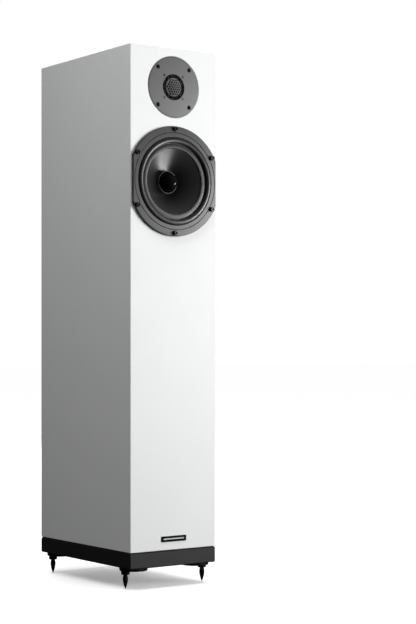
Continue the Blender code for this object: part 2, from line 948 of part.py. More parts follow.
def build_woofer_motor(centre):
    """Front plate, ring magnet and pole plate, with the fixed plug on the pole's end."""
    plate_start = chassis_depth + GAP
    plate_end = plate_start + top_plate_thickness
    bore = coil_radius + coil_winding + gap_clearance
    magnet_end = plate_end + GAP + magnet_thickness
    pole_radius = coil_radius - coil_wall - pole_clearance
    pole_plate_start = magnet_end + GAP
    plate_back = pole_plate_start + pole_plate_thickness
    plate_radius = magnet_radius - plate_inset
    rings = (
        ("woofer_front_plate", bore, plate_radius, plate_start, plate_end, plated_steel()),
        ("woofer_magnet", magnet_bore, magnet_radius, plate_end + GAP, magnet_end, ferrite()),
    )
    for name, inner, outer, start, end, finish in rings:
        outline = [(inner, start), (outer, start), (outer, end), (inner, end)]
        turned(name, outline, motor_steps, finish, centre, INWARD)
    turned(
        "woofer_pole",
        [
            (0, plate_start), (pole_radius, plate_start), (pole_radius, pole_plate_start),
            (plate_radius, pole_plate_start), (plate_radius, plate_back), (0, plate_back),
        ],
        motor_steps, plated_steel(), centre, INWARD,
    )
    tip = -woofer_front + plug_tip_depth
    bullet = []
    for i in range(plug_arcs + 1):
        angle = math.pi / 2 * i / plug_arcs
        bullet.append((plug_radius * math.sin(angle), tip + plug_length * (1 - math.cos(angle))))
    bullet[0] = (0, tip)
    plug = bullet + [(plug_radius, plate_start - GAP), (0, plate_start - GAP)]
    turned("woofer_phase_plug", plug, dome_steps, plug_black(), centre, INWARD)


# ---------------------------------------------------------------- back

def port_box():
    low_z = cabinet_bottom + port_above_bottom
    half = inner_half - port_side_margin
    return (-half, back_y - port_length, low_z), (half, back_y, low_z + port_outer_height)


def build_port():
    """A wide duct with a wall down its middle, open at both ends."""
    low, high = port_box()
    port = block("port_duct", low, high, moulded_black())
    channels = []
    for name, sign in (("left", -1), ("right", 1)):
        edges = sorted((sign * port_wall / 2, sign * (high[0] - port_wall)))
        channels.append(block(
            f"port_channel_{name}", (edges[0], low[1] - OVERSHOOT, low[2] + port_wall),
            (edges[1], high[1] + OVERSHOOT, high[2] - port_wall), moulded_black(),
        ))
    cut(port, *channels)


def build_terminals():
    plate = block(
        "terminal_plate", (-terminal_width / 2, back_y + GAP, terminal_z - terminal_height / 2),
        (terminal_width / 2, terminal_face, terminal_z + terminal_height / 2), moulded_black(),
    )
    holes = []
    for name, sign in (("negative", -1), ("positive", 1)):
        place = (sign * post_spacing / 2, terminal_face, terminal_z)
        holes.append(cylinder(
            f"post_hole_{name}", post_tail_radius + screw_clearance, -terminal_thickness - OVERSHOOT,
            OVERSHOOT, post_steps, moulded_black(), place, INWARD,
        ))
        build_post(name, place)
    cut(plate, *holes)


def build_post(name, place):
    """A fixed threaded post, and the clamp washer and knob that screw along it. All have a 4 mm socket."""
    tail = board_back + GAP - terminal_face
    shaft_end = post_flange_thickness + GAP + post_shaft_length
    socket_start = shaft_end - banana_depth
    turned(
        f"binding_post_{name}",
        [
            (0, tail), (post_tail_radius, tail), (post_tail_radius, GAP), (post_flange_radius, GAP),
            (post_flange_radius, GAP + post_flange_thickness),
            (post_shaft_radius, GAP + post_flange_thickness), (post_shaft_radius, shaft_end),
            (banana_radius, shaft_end), (banana_radius, socket_start), (0, socket_start),
        ],
        post_steps, plated_brass(), place, INWARD,
    )
    thread = post_shaft_radius + thread_clearance
    turned(
        f"clamp_washer_{name}",
        [
            (thread, washer_start), (washer_radius, washer_start),
            (washer_radius, washer_start + washer_thickness), (thread, washer_start + washer_thickness),
        ],
        nut_steps, plated_brass(), place, INWARD,
    )
    knob_end = knob_start + knob_length
    bore_end = knob_end - knob_end_wall
    knob = turned(
        f"post_knob_{name}",
        [
            (thread, knob_start), (knob_radius, knob_start), (knob_radius, knob_end - knob_chamfer),
            (knob_radius - knob_chamfer, knob_end), (banana_radius, knob_end),
            (banana_radius, bore_end), (thread, bore_end),
        ],
        dome_steps, moulded_black(), place, INWARD,
    )
    flutes = []
    flute_circle = knob_radius + flute_radius * flute_offset_share
    for i, (x, z) in enumerate(ring_places(flute_circle, knob_flutes, 0)):
        flutes.append(cylinder(
            f"flute_{name}_{i}", flute_radius, knob_start + flute_start, knob_end + OVERSHOOT,
            hexagon_steps, moulded_black(), (place[0] + x, place[1], place[2] + z), INWARD,
        ))
    cut(knob, *flutes)


def build_crossover():
    """The filter board on four pillars, behind the terminal plate, with its coil and capacitor."""
    front = board_back - board_thickness
    board = block(
        "crossover_board", (-board_width / 2, front, terminal_z - board_height / 2),
        (board_width / 2, board_back, terminal_z + board_height / 2), circuit_board(),
    )
    pillars = []
    for name, (side, end) in CORNERS.items():
        x = side * (board_width / 2 - pillar_inset)
        z = terminal_z + end * (board_height / 2 - pillar_inset)
        pillars.append(cylinder(
            f"pillar_{name}", pillar_radius, -board_thickness / 2, board_standoff, pilot_steps,
            circuit_board(), (x, board_back, z), INWARD,
        ))
    join(board, *pillars)
    turned(
        "crossover_inductor",
        [
            (inductor_bore, -inductor_height), (inductor_radius, -inductor_height),
            (inductor_radius, 0), (inductor_bore, 0),
        ],
        dome_steps, copper(), (-component_offset, front - GAP, terminal_z), INWARD,
    )
    cylinder(
        "crossover_capacitor", capacitor_radius, -capacitor_length / 2, capacitor_length / 2, post_steps,
        moulded_black(), (component_offset, front - GAP - capacitor_radius, terminal_z), ACROSS,
    )


def build_leads():
    """Two cables from the filter board through the brace's opening to the drivers."""
    board_front = board_back - board_thickness
    start_z = terminal_z + board_height / 2 - lead_inset
    magnet_back = (
        front_y + chassis_depth + 3 * GAP + top_plate_thickness + magnet_thickness + pole_plate_thickness
    )
    woofer_tag = (8, magnet_back + GAP, woofer_z - 20)
    lead("woofer_lead", [
        (20, board_front - GAP, start_z),
        (20, board_front - 14, start_z),
        (19, board_front - 34, start_z + 24),
        (14, middle_y + 30, (start_z + brace_z) / 2),
        (12, middle_y + 12, brace_z),
        (10, magnet_back + 45, (brace_z + woofer_z) / 2),
        (woofer_tag[0], magnet_back + 30, woofer_z - 40),
        (woofer_tag[0], magnet_back + 12, woofer_tag[2]),
        woofer_tag,
    ])
    chamber_back = (
        front_y + tweeter_plate_thickness + 5 * GAP + tweeter_motor_length + chamber_length
    )
    lead("tweeter_lead", [
        (-20, board_front - GAP, start_z),
        (-20, board_front - 14, start_z),
        (-20, board_front - 34, start_z + 24),
        (-16, middle_y + 40, (start_z + brace_z) / 2),
        (-16, middle_y + 34, brace_z),
        (-20, middle_y + 36, woofer_z - 40),
        (-18, middle_y + 20, woofer_z + 60),
        (-8, chamber_back + 40, tweeter_z - 30),
        (-4, chamber_back + 14, tweeter_z),
        (-4, chamber_back + GAP, tweeter_z),
    ])


def main():
    clear_scene()
    build_baffle()
    build_back()
    build_shell()
    build_brace()
    build_damping_pad()
    build_badge()
    build_plinth()
    for name, corner in CORNERS.items():
        build_foot(name, corner)
    build_woofer()
    build_woofer_screws()
    build_tweeter()
    build_tweeter_screws()
    build_port()
    build_terminals()
    build_crossover()
    build_leads()


main()
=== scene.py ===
"""Looks of a slim floorstanding loudspeaker: white lacquered cabinet, two drivers, black plinth on spikes.

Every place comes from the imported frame. Lengths here are millimetres, and the mesh builders turn
them into metres. The front faces -Y, +X is to the right seen from the front, and +Z is up.
"""

import json
import math

import bmesh
import bpy
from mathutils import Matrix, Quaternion, Vector

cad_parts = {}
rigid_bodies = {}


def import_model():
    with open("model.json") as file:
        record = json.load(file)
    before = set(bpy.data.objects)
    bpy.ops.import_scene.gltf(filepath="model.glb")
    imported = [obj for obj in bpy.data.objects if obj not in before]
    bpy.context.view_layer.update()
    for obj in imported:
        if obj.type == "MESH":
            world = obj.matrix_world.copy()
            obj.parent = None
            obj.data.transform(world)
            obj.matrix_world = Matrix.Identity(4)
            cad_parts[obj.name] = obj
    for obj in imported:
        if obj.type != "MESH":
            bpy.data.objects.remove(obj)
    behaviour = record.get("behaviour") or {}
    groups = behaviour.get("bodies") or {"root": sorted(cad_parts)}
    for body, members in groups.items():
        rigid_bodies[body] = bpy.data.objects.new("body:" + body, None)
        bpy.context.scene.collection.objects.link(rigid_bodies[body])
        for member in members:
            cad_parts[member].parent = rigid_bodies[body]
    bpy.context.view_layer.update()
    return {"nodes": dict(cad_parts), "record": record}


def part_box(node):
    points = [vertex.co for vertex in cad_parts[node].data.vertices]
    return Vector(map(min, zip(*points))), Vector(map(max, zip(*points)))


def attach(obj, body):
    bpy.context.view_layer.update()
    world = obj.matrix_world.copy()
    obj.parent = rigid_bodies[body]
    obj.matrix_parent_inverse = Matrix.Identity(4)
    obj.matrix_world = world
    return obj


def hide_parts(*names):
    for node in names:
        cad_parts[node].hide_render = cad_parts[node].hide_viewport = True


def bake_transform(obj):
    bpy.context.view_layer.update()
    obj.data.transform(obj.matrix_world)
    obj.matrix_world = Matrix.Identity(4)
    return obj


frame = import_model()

MM = 0.001
INWARD = Vector((0, 1, 0))
UP = Vector((0, 0, 1))
RIGHT = Vector((1, 0, 0))
CORNERS = ("front_left", "front_right", "rear_left", "rear_right")
FRAME_BODY = "cabinet"


# ---------------------------------------------------------------- places read from the frame

def box_mm(node):
    low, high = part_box(node)
    return Vector(low) / MM, Vector(high) / MM


def middle(node):
    low, high = box_mm(node)
    return (low + high) / 2


def size(node):
    low, high = box_mm(node)
    return high - low


def depths(node):
    """How far behind the baffle's face a node starts and ends."""
    low, high = box_mm(node)
    return low.y - FRONT_Y, high.y - FRONT_Y


def on_face(node):
    """A node's middle, brought to the baffle's face."""
    place = middle(node)
    place.y = FRONT_Y
    return place


BAFFLE_LOW, BAFFLE_HIGH = box_mm("front_baffle")
BACK_LOW, BACK_HIGH = box_mm("back_panel")
FRONT_Y = BAFFLE_LOW.y
BACK_Y = BACK_HIGH.y
CABINET_LOW = Vector((BAFFLE_LOW.x, FRONT_Y, BAFFLE_LOW.z))
CABINET_HIGH = Vector((BAFFLE_HIGH.x, BACK_Y, BAFFLE_HIGH.z))
CABINET_MIDDLE = (CABINET_LOW + CABINET_HIGH) / 2
WALL = CABINET_HIGH.x - box_mm("right_side_panel")[0].x

WOOFER = Vector((0, FRONT_Y, middle("woofer_chassis").z))
WOOFER_RADIUS = size("woofer_chassis").z / 2
FLANGE_FLAT = size("woofer_chassis").x / 2
FLANGE_FRONT, CHASSIS_DEPTH = depths("woofer_chassis")
RECESS_RADIUS = size("woofer_surround").x / 2
OPENING_RADIUS = RECESS_RADIUS - 8
RIM_RADIUS = size("woofer_cone").x / 2
WIRE_DEPTH = 0.8
COIL_RADIUS = size("woofer_voice_coil").x / 2 - WIRE_DEPTH
PLUG_RADIUS = size("woofer_phase_plug").x / 2
PLUG_TIP, PLUG_BASE = depths("woofer_phase_plug")
NECK_DEPTH = depths("woofer_voice_coil")[0]
WOOFER_SCREWS = [f"woofer_screw_{i + 1}" for i in range(6)]

TWEETER = Vector((0, FRONT_Y, middle("tweeter_faceplate").z))
PLATE_RADIUS = size("tweeter_faceplate").x / 2
PLATE_THICKNESS = size("tweeter_faceplate").y
GUARD_RADIUS = size("tweeter_guard").x / 2
DOME_RADIUS = size("tweeter_dome").x / 2
SMALL_SCREW_CIRCLE = 27.4
GUARD_DOME = 15.75
GUARD_RISE = 4.0
GUARD_EDGE = GUARD_RADIUS - 0.6
HOLE_PITCH = 4.6
HOLE_RADIUS = 1.8
ROW_SHARE = 0.866
CELL_POINTS = 12
TWEETER_SCREWS = [f"tweeter_screw_{i + 1}" for i in range(4)]


# ---------------------------------------------------------------- shader maths

class Value:
    """An output in a material's node tree. An expression on it adds the Math nodes that work it out."""

    def __init__(self, paint, socket):
        self.paint = paint
        self.socket = socket

    def math(self, operation, first, second):
        return self.paint.node("ShaderNodeMath", {"operation": operation}, {0: first, 1: second})

    def __add__(self, other):
        return self.math("ADD", self, other)

    def __radd__(self, other):
        return self.math("ADD", other, self)

    def __mul__(self, other):
        return self.math("MULTIPLY", self, other)

    def __pow__(self, other):
        return self.math("POWER", self, other)

    def __gt__(self, other):
        return self.math("GREATER_THAN", self, other)

    def __lt__(self, other):
        return self.math("LESS_THAN", self, other)


class Paint:
    """One finish: a Principled shader whose constants are set on its own sockets."""

    def __init__(self, name, **constants):
        self.material = bpy.data.materials.new(name)
        self.material.use_nodes = True
        self.tree = self.material.node_tree
        self.shader = self.tree.nodes["Principled BSDF"]
        for socket, value in constants.items():
            self.shader.inputs[socket.replace("_", " ")].default_value = value

    def node(self, kind, settings=None, sockets=None, output=0):
        """Adds a node, sets it up, feeds its sockets, and returns one of its outputs."""
        made = self.tree.nodes.new(kind)
        for key, value in (settings or {}).items():
            if key == "stops":
                self.set_stops(made.color_ramp, value)
            else:
                setattr(made, key, value)
        for key, value in (sockets or {}).items():
            self.feed(made.inputs[key], value)
        return Value(self, made.outputs[output])

    def set_stops(self, ramp, stops):
        while len(ramp.elements) < len(stops):
            ramp.elements.new(0.5)
        for element, (place, shade) in zip(ramp.elements, stops):
            element.position = place
            element.color = (shade, shade, shade, 1)

    def feed(self, socket, value):
        if isinstance(value, Value):
            self.tree.links.new(value.socket, socket)
        else:
            socket.default_value = value

    def set(self, **sockets):
        for name, value in sockets.items():
            self.feed(self.shader.inputs[name.replace("_", " ")], value)

    def place(self):
        """Where a point is on the object, in metres."""
        return self.node("ShaderNodeTexCoord", output="Object")

    def noise(self, grain, detail=2.0, roughness=0.5, stretch=None):
        """Noise whose grain is about so many millimetres across, drawn out where a stretch is given."""
        place = self.place()
        if stretch:
            place = self.node("ShaderNodeVectorMath", {"operation": "MULTIPLY"}, {0: place, 1: stretch})
        return self.node("ShaderNodeTexNoise", {"noise_dimensions": "3D"}, {
            "Vector": place, "Scale": 1 / (grain * MM), "Detail": detail, "Roughness": roughness,
        })

    def specks(self, grain):
        return self.node(
            "ShaderNodeTexVoronoi", {"feature": "F1"},
            {"Vector": self.place(), "Scale": 1 / (grain * MM)}, output="Distance",
        )

    def pattern(self, grain, *look):
        """Specks of a size, or noise where a detail follows the size."""
        return self.noise(grain, *look) if look else self.specks(grain)

    def ramp(self, value, *stops):
        return self.node("ShaderNodeValToRGB", {"stops": stops}, {"Fac": value})

    def tint(self, factor, first, second):
        """A colour between two, by a factor."""
        return self.node(
            "ShaderNodeMix", {"data_type": "RGBA"},
            {"Factor": factor, 6: (*first, 1.0), 7: (*second, 1.0)}, output=2,
        )

    def bump(self, height, depth):
        """Relief so many millimetres deep."""
        return self.node(
            "ShaderNodeBump", None, {"Strength": 1.0, "Distance": depth * MM, "Height": height}
        )

    def cover(self, shade, dark, light, roughness, relief, depth):
        self.set(
            Base_Color=self.tint(shade, dark, light), Roughness=roughness,
            Normal=self.bump(relief, depth),
        )

    def radius_from(self, centre):
        """Distance from a driver's axis, in millimetres."""
        offset = self.node(
            "ShaderNodeVectorMath", {"operation": "SUBTRACT"}, {0: self.place(), 1: centre * MM}
        )
        flat = self.node(
            "ShaderNodeVectorMath", {"operation": "MULTIPLY"}, {0: offset, 1: (1000, 0, 1000)}
        )
        return self.node("ShaderNodeVectorMath", {"operation": "LENGTH"}, {0: flat}, output="Value")


# ---------------------------------------------------------------- finishes

BLACK_LOW = (0.012, 0.012, 0.012)
METAL = {"Metallic": 1.0}
KNOB = {"IOR": 1.5, "Coat_Weight": 0.2, "Coat_Roughness": 0.15}

# Two colours, the pattern that mixes them, a roughness with how far the pattern raises it, the
# relief's depth in millimetres, and the shader's constants. Roughness and relief may each name a
# pattern of their own. A pattern is its size in millimetres, and for noise also its detail,
# roughness and stretch.
PLAIN_FINISHES = {
    # satin white, with a faint orange peel and a little variation in its gloss
    "white_lacquer": (
        (0.80, 0.815, 0.81), (0.84, 0.85, 0.845), (140, 3), (0.34, 0.08, 30, 4), (0.012, 2.4, 1),
        {"IOR": 1.45},
    ),
    # satin black on the plinth, with fine dust in the finish
    "black_lacquer": (
        (0.008, 0.008, 0.0085), (0.013, 0.0125, 0.013), (60, 3), (0.38, 0.12, 12, 4), (0.015, 0.7, 2),
        {"IOR": 1.43},
    ),
    # soft black rubber with a slight bloom
    "moulded_rubber": (
        (0.012, 0.012, 0.013), (0.024, 0.024, 0.025), (7, 3), (0.36, 0.14), (0.01, 0.5, 2),
        {"IOR": 1.4, "Sheen_Weight": 0.15, "Sheen_Roughness": 0.4},
    ),
    # polished black moulding
    "gloss_black": (
        (0.004, 0.004, 0.0045), (0.009, 0.009, 0.01), (5, 4), (0.12, 0.08), (0.004, 1.8, 1),
        {"IOR": 1.4, "Specular_IOR_Level": 0.35},
    ),
    # dark plated steel on the feet, with fine turning marks
    "black_chrome": (
        BLACK_LOW, (0.035, 0.034, 0.034), (4, 4), (0.22, 0.12),
        (0.006, 0.25, 2, 0.5, (0.05, 0.05, 1)), {"Metallic": 0.85},
    ),
    # black coated weave of the tweeter's dome
    "coated_silk": (
        (0.006, 0.006, 0.006), (0.022, 0.021, 0.021), (0.35,), (0.5, 0.25), (0.02,), {},
    ),
    # light satin aluminium with fine straight brushing
    "spun_aluminium": (
        (0.62, 0.62, 0.61), (0.86, 0.86, 0.85), (0.12, 2, 0.5, (0.02, 1, 1)), (0.24, 0.16), (0.005,),
        METAL,
    ),
    # fine spark-eroded texture on black mouldings
    "moulded_black": (
        BLACK_LOW, (0.022, 0.022, 0.023), (20, 3), (0.46, 0.2, 0.5), (0.03, 0.5), {"IOR": 1.5},
    ),
    "knob_black": (
        (0.010, 0.010, 0.010), (0.02, 0.02, 0.02), (3, 4), (0.28, 0.14), (0.006, 0.6, 2), KNOB,
    ),
    "knob_red": (
        (0.34, 0.012, 0.010), (0.46, 0.022, 0.016), (3, 4), (0.28, 0.14), (0.006, 0.6, 2), KNOB,
    ),
    "gold_plate": (
        (0.62, 0.42, 0.16), (0.86, 0.64, 0.30), (2, 5, 0.65), (0.16, 0.18), (0.01,), METAL,
    ),
    "zinc_plate": (
        (0.42, 0.43, 0.44), (0.66, 0.66, 0.65), (6, 5, 0.65), (0.28, 0.18), (0.01,), METAL,
    ),
    "ferrite": (
        (0.022, 0.022, 0.024), (0.07, 0.07, 0.074), (0.7, 5, 0.7), (0.55, 0.25), (0.03,), {},
    ),
    "needled_felt": (
        (0.07, 0.07, 0.075), (0.32, 0.32, 0.33), (0.9, 6, 0.75), (0.88, 0.1), (0.6,),
        {"Sheen_Weight": 0.4, "Sheen_Roughness": 0.6},
    ),
    # amber stiffened cloth of the spider
    "resin_cloth": ((0.36, 0.22, 0.08), (0.62, 0.44, 0.2), (0.6,), (0.62, 0.25), (0.06,), {}),
    "red_jacket": (
        (0.30, 0.015, 0.012), (0.44, 0.03, 0.02), (4, 4), (0.4, 0.2), (0.02, 1, 3), {"IOR": 1.5},
    ),
    # dark finish of the tools that cut the duct and every drilled hole
    "dark_recess": (
        (0.008, 0.008, 0.008), (0.016, 0.016, 0.016), (3, 4), (0.7, 0.2), (0.05,), {},
    ),
    # satin bead of glue and former at the cone's neck
    "collar_finish": (
        (0.09, 0.09, 0.092), (0.15, 0.15, 0.152), (2, 3), (0.4, 0.12), (0.01,), {"IOR": 1.5},
    ),
}
MIXED_FINISHES = {}
FINISHES = {}


def coat(name):
    """A finish's material. Each is made once."""
    if name not in FINISHES:
        if name in PLAIN_FINISHES:
            dark, light, pattern, (base, reach, *own_gloss), (depth, *own_relief), constants = (
                PLAIN_FINISHES[name]
            )
            paint = Paint(name, **constants)
            shade = paint.pattern(*pattern)
            gloss = paint.pattern(*own_gloss) if own_gloss else shade
            relief = paint.pattern(*own_relief) if own_relief else shade
            paint.cover(shade, dark, light, base + gloss * reach, relief, depth)
        else:
            make, constants = MIXED_FINISHES[name]
            paint = Paint(name, **constants)
            make(paint)
        FINISHES[name] = paint.material
    return FINISHES[name]


def mixed(**constants):
    """Lists a finish that needs more than one row, with its shader's constants."""
    def listed(make):
        MIXED_FINISHES[make.__name__] = (make, constants)
        return make
    return listed


@mixed()
def raw_board(paint):
    """Fibreboard: short pale and dark fibres, rough."""
    fibres = paint.noise(0.8, 5, 0.7)
    shade = fibres * 0.7 + paint.noise(9, 3) * 0.3
    paint.cover(shade, (0.22, 0.14, 0.08), (0.52, 0.38, 0.24), 0.78 + fibres * 0.2, fibres, 0.1)


@mixed(IOR=1.5)
def frame_coat(paint):
    """Fine-grained dark grey powder coat on the woofer's cast frame."""
    grain = paint.noise(0.45, 3, 0.6)
    shade = grain * 0.6 + paint.noise(18, 2) * 0.4
    paint.cover(shade, (0.030, 0.030, 0.031), (0.058, 0.058, 0.06), 0.40 + grain * 0.14, grain, 0.02)


@mixed(IOR=1.5)
def plate_coat(paint):
    """Finely textured satin grey on the tweeter's faceplate, with painted shade inside the guard's seat
    where the guard covers it.
    """
    grain = paint.specks(0.55)
    # painted shade: near black where the faceplate lies under the guard
    face = paint.radius_from(TWEETER) > GUARD_EDGE + 0.2
    shade = (grain * 0.3 + paint.noise(14, 2) * 0.2 + 0.5) * face
    paint.cover(shade, (0.006, 0.006, 0.006), (0.098, 0.096, 0.098), 0.44 + grain * 0.16, grain, 0.02)


@mixed(IOR=1.5)
def cone_polymer(paint):
    """Smooth dark polymer with faint flow rings from its moulding, and a painted sheen: lighter towards its
    rim.
    """
    radius = paint.radius_from(WOOFER)
    rings = paint.node("ShaderNodeMath", {"operation": "SINE"}, {0: radius * 5.0})
    cloud = paint.noise(16, 3)
    # painted sheen: the base colour grows lighter towards the rim, with a ragged edge from the cloud
    painted_sheen = paint.ramp((radius + cloud * 6) * 0.01, (0.28, 0.0), (0.68, 1.0))
    relief = rings * 0.3 + paint.noise(1.5, 2)
    paint.cover(painted_sheen, (0.005, 0.005, 0.0055), (0.045, 0.043, 0.046), 0.25 + cloud * 0.08, relief, 0.01)


@mixed(Metallic=0.6)
def black_oxide(paint):
    """Blackened steel fasteners, rubbed a little on their edges."""
    scuff = paint.noise(0.9, 5, 0.7)
    paint.cover(scuff ** 3, (0.02, 0.02, 0.02), (0.16, 0.157, 0.152), 0.26 + scuff * 0.2, scuff, 0.008)


@mixed(Specular_IOR_Level=0.35)
def guard_wire(paint):
    """Painted steel sheet of the tweeter's guard, dark outside the dome."""
    wear = paint.noise(1.2, 4)
    dome = paint.radius_from(TWEETER) < GUARD_DOME + 0.3
    shade = (wear * 0.4 + 0.6) * dome
    paint.cover(shade, (0.007, 0.007, 0.007), (0.24, 0.24, 0.241), 0.34 + wear * 0.14, wear, 0.008)


@mixed(Metallic=0.9, Coat_Weight=0.4, Coat_Roughness=0.2)
def enamelled_wire(paint):
    """Copper windings: close rings of wire under a brown enamel."""
    turns = paint.node("ShaderNodeTexWave", {"bands_direction": "Y"}, {
        "Vector": paint.place(), "Scale": 160.0, "Distortion": 0.2,
    })
    cloud = paint.noise(3, 3)
    shade = (cloud * 0.5 + 0.5) * (paint.radius_from(WOOFER) > COIL_RADIUS - 0.1)
    paint.cover(shade, (0.01, 0.01, 0.01), (0.68, 0.31, 0.14), 0.28 + cloud * 0.15, turns, 0.12)


@mixed(Coat_Weight=0.3, Coat_Roughness=0.2)
def solder_mask(paint):
    tracks = paint.ramp(paint.specks(9), (0.42, 0.0), (0.5, 1.0))
    roughness = 0.34 + paint.noise(2) * 0.2
    paint.cover(tracks, (0.015, 0.10, 0.04), (0.03, 0.19, 0.08), roughness, tracks, 0.03)


@mixed(Emission_Color=(1, 1, 1, 1), Emission_Strength=0.31)
def floor_paint(paint):
    cloud = paint.noise(400, 3)
    paint.set(
        Base_Color=paint.tint(cloud, (0.90, 0.90, 0.90), (0.93, 0.93, 0.93)),
        Roughness=0.9 + cloud * 0.05,
    )


# ---------------------------------------------------------------- mesh builders

SHARP = 32
CORNER_STEPS = 4
CORNER_REACH = 0.45


def dress(mesh, paint, sharp):
    """Gives a mesh its one finish, smooth but for edges sharper than the angle."""
    mesh.materials.clear()
    mesh.materials.append(paint)
    mesh.polygons.foreach_set("material_index", [0] * len(mesh.polygons))
    mesh.shade_smooth()
    mesh.set_sharp_from_angle(angle=math.radians(sharp))


def as_object(name, shape, paint, sharp=SHARP):
    """A bmesh in millimetres as an object in metres."""
    bmesh.ops.scale(shape, vec=(MM, MM, MM), verts=shape.verts)
    bmesh.ops.remove_doubles(shape, verts=shape.verts, dist=1e-7)
    bmesh.ops.recalc_face_normals(shape, faces=shape.faces)
    mesh = bpy.data.meshes.new(name)
    shape.to_mesh(mesh)
    shape.free()
    dress(mesh, paint, sharp)
    made = bpy.data.objects.new(name, mesh)
    bpy.context.scene.collection.objects.link(made)
    return made


def settle(made, body, *nodes, slot=None):
    """Gives a finished piece even shading and its body, and hides the CAD nodes it stands for. The slot is
    not used.
    """
    even = made.modifiers.new("even_shading", "WEIGHTED_NORMAL")
    even.keep_sharp = True
    if nodes:
        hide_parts(*nodes)
    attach(made, body)
    return made


SLOTS = {part["node"]: part["material_slot"] for part in frame["record"]["subparts"]}


def rounded(outline, closed=True):
    """Rounds an outline's corners. A point is (radius, along) or (radius, along, corner radius)."""
    points = [Vector(point[:2]) for point in outline]
    radii = [point[2] if len(point) > 2 else 0.0 for point in outline]
    count = len(points)
    found = []
    for i, (point, corner) in enumerate(zip(points, radii)):
        if corner == 0 or (not closed and i in (0, count - 1)):
            found.append(tuple(point))
            continue
        back = points[i - 1] - point
        ahead = points[(i + 1) % count] - point
        angle = back.angle(ahead)
        reach = min(
            corner / math.tan(angle / 2), back.length * CORNER_REACH, ahead.length * CORNER_REACH,
        )
        radius = reach * math.tan(angle / 2)
        bisector = (back.normalized() + ahead.normalized()).normalized()
        centre = point + bisector * (radius / math.sin(angle / 2))
        start = point + back.normalized() * reach - centre
        end = point + ahead.normalized() * reach - centre
        for k in range(CORNER_STEPS + 1):
            share = k / CORNER_STEPS
            spoke = (start * math.sin((1 - share) * (math.pi - angle))
                     + end * math.sin(share * (math.pi - angle))) / math.sin(math.pi - angle)
            found.append(tuple(centre + spoke))
    return found


def spun(outline, centre, axis, segments):
    """A bmesh turned from (radius, along) points. It is closed by itself, or by the axis."""
    side = RIGHT if abs(axis.dot(RIGHT)) < 0.5 else UP
    on_axis = outline[0][0] == 0 and outline[-1][0] == 0
    shape = bmesh.new()
    points = [shape.verts.new(centre + side * radius + axis * along) for radius, along in outline]
    ends = points[1:] if on_axis else points[1:] + points[:1]
    edges = [shape.edges.new(pair) for pair in zip(points, ends)]
    bmesh.ops.spin(
        shape, geom=points + edges, cent=centre, axis=axis, dvec=(0, 0, 0),
        angle=2 * math.pi, steps=segments, use_merge=True,
    )
    return shape


def turned(name, outline, centre, axis, segments, paint, sharp=SHARP):
    on_axis = outline[0][0] == 0 and outline[-1][0] == 0
    return as_object(name, spun(rounded(outline, not on_axis), centre, axis, segments), paint, sharp)


def rod(name, radius, start, end, centre, axis, segments=24):
    """A plain cylinder, used for drilling."""
    outline = [(0, start), (radius, start), (radius, end), (0, end)]
    return turned(name, outline, centre, axis, segments, coat("dark_recess"))


def box_shape(low, high):
    shape = bmesh.new()
    bmesh.ops.create_cube(shape, size=1.0)
    bmesh.ops.scale(shape, vec=high - low, verts=shape.verts)
    bmesh.ops.translate(shape, vec=(low + high) / 2, verts=shape.verts)
    return shape


def brick(name, low, high):
    """A plain box, used for cutting."""
    return as_object(name, box_shape(low, high), coat("dark_recess"))


def carve(made, tools, operation="DIFFERENCE", sharp=SHARP):
    """Cuts tools from a piece and throws them away."""
    group = bpy.data.collections.new(made.name + "_tools")
    bpy.context.scene.collection.children.link(group)
    for tool in tools:
        bpy.context.scene.collection.objects.unlink(tool)
        group.objects.link(tool)
    step = made.modifiers.new("carve", "BOOLEAN")
    step.operation = operation
    step.solver = "EXACT"
    step.operand_type = "COLLECTION"
    step.collection = group
    paint = made.data.materials[0]
    bpy.context.view_layer.update()
    graph = bpy.context.evaluated_depsgraph_get()
    mesh = bpy.data.meshes.new_from_object(made.evaluated_get(graph))
    made.modifiers.remove(step)
    old = made.data
    made.data = mesh
    bpy.data.meshes.remove(old)
    for tool in list(group.objects):
        bpy.data.objects.remove(tool)
    bpy.data.collections.remove(group)
    dress(mesh, paint, sharp)
    return made


def rounded_box(low, high, corner, steps=CORNER_STEPS):
    shape = box_shape(low, high)
    bmesh.ops.bevel(
        shape, geom=list(shape.edges), offset=corner, segments=steps, profile=0.5, affect="EDGES",
    )
    return shape


def skin(shape, loops):
    """Joins each loop of points to the next with quads."""
    for lower, upper in zip(loops, loops[1:]):
        for i in range(len(lower)):
            j = (i + 1) % len(lower)
            shape.faces.new((lower[i], lower[j], upper[j], upper[i]))


def ring_places(radius, count, first):
    angles = [math.radians(first + 360 * i / count) for i in range(count)]
    return [(radius * math.cos(angle), radius * math.sin(angle)) for angle in angles]


# ---------------------------------------------------------------- cabinet

CABINET_EDGE = 1.1
PLINTH_EDGE = 2.0
STUD_HOLE = 4.6


def slab(name, shell, planes, paint):
    """The part of the lacquered shell that lies behind every plane, with its cut faces closed."""
    shape = shell.copy()
    for place, normal in planes:
        everything = list(shape.verts) + list(shape.edges) + list(shape.faces)
        bmesh.ops.bisect_plane(shape, geom=everything, plane_co=place, plane_no=normal, clear_outer=True)
        open_edges = [edge for edge in shape.edges if edge.is_boundary]
        bmesh.ops.edgeloop_fill(shape, edges=open_edges)
    return as_object(name, shape, paint)


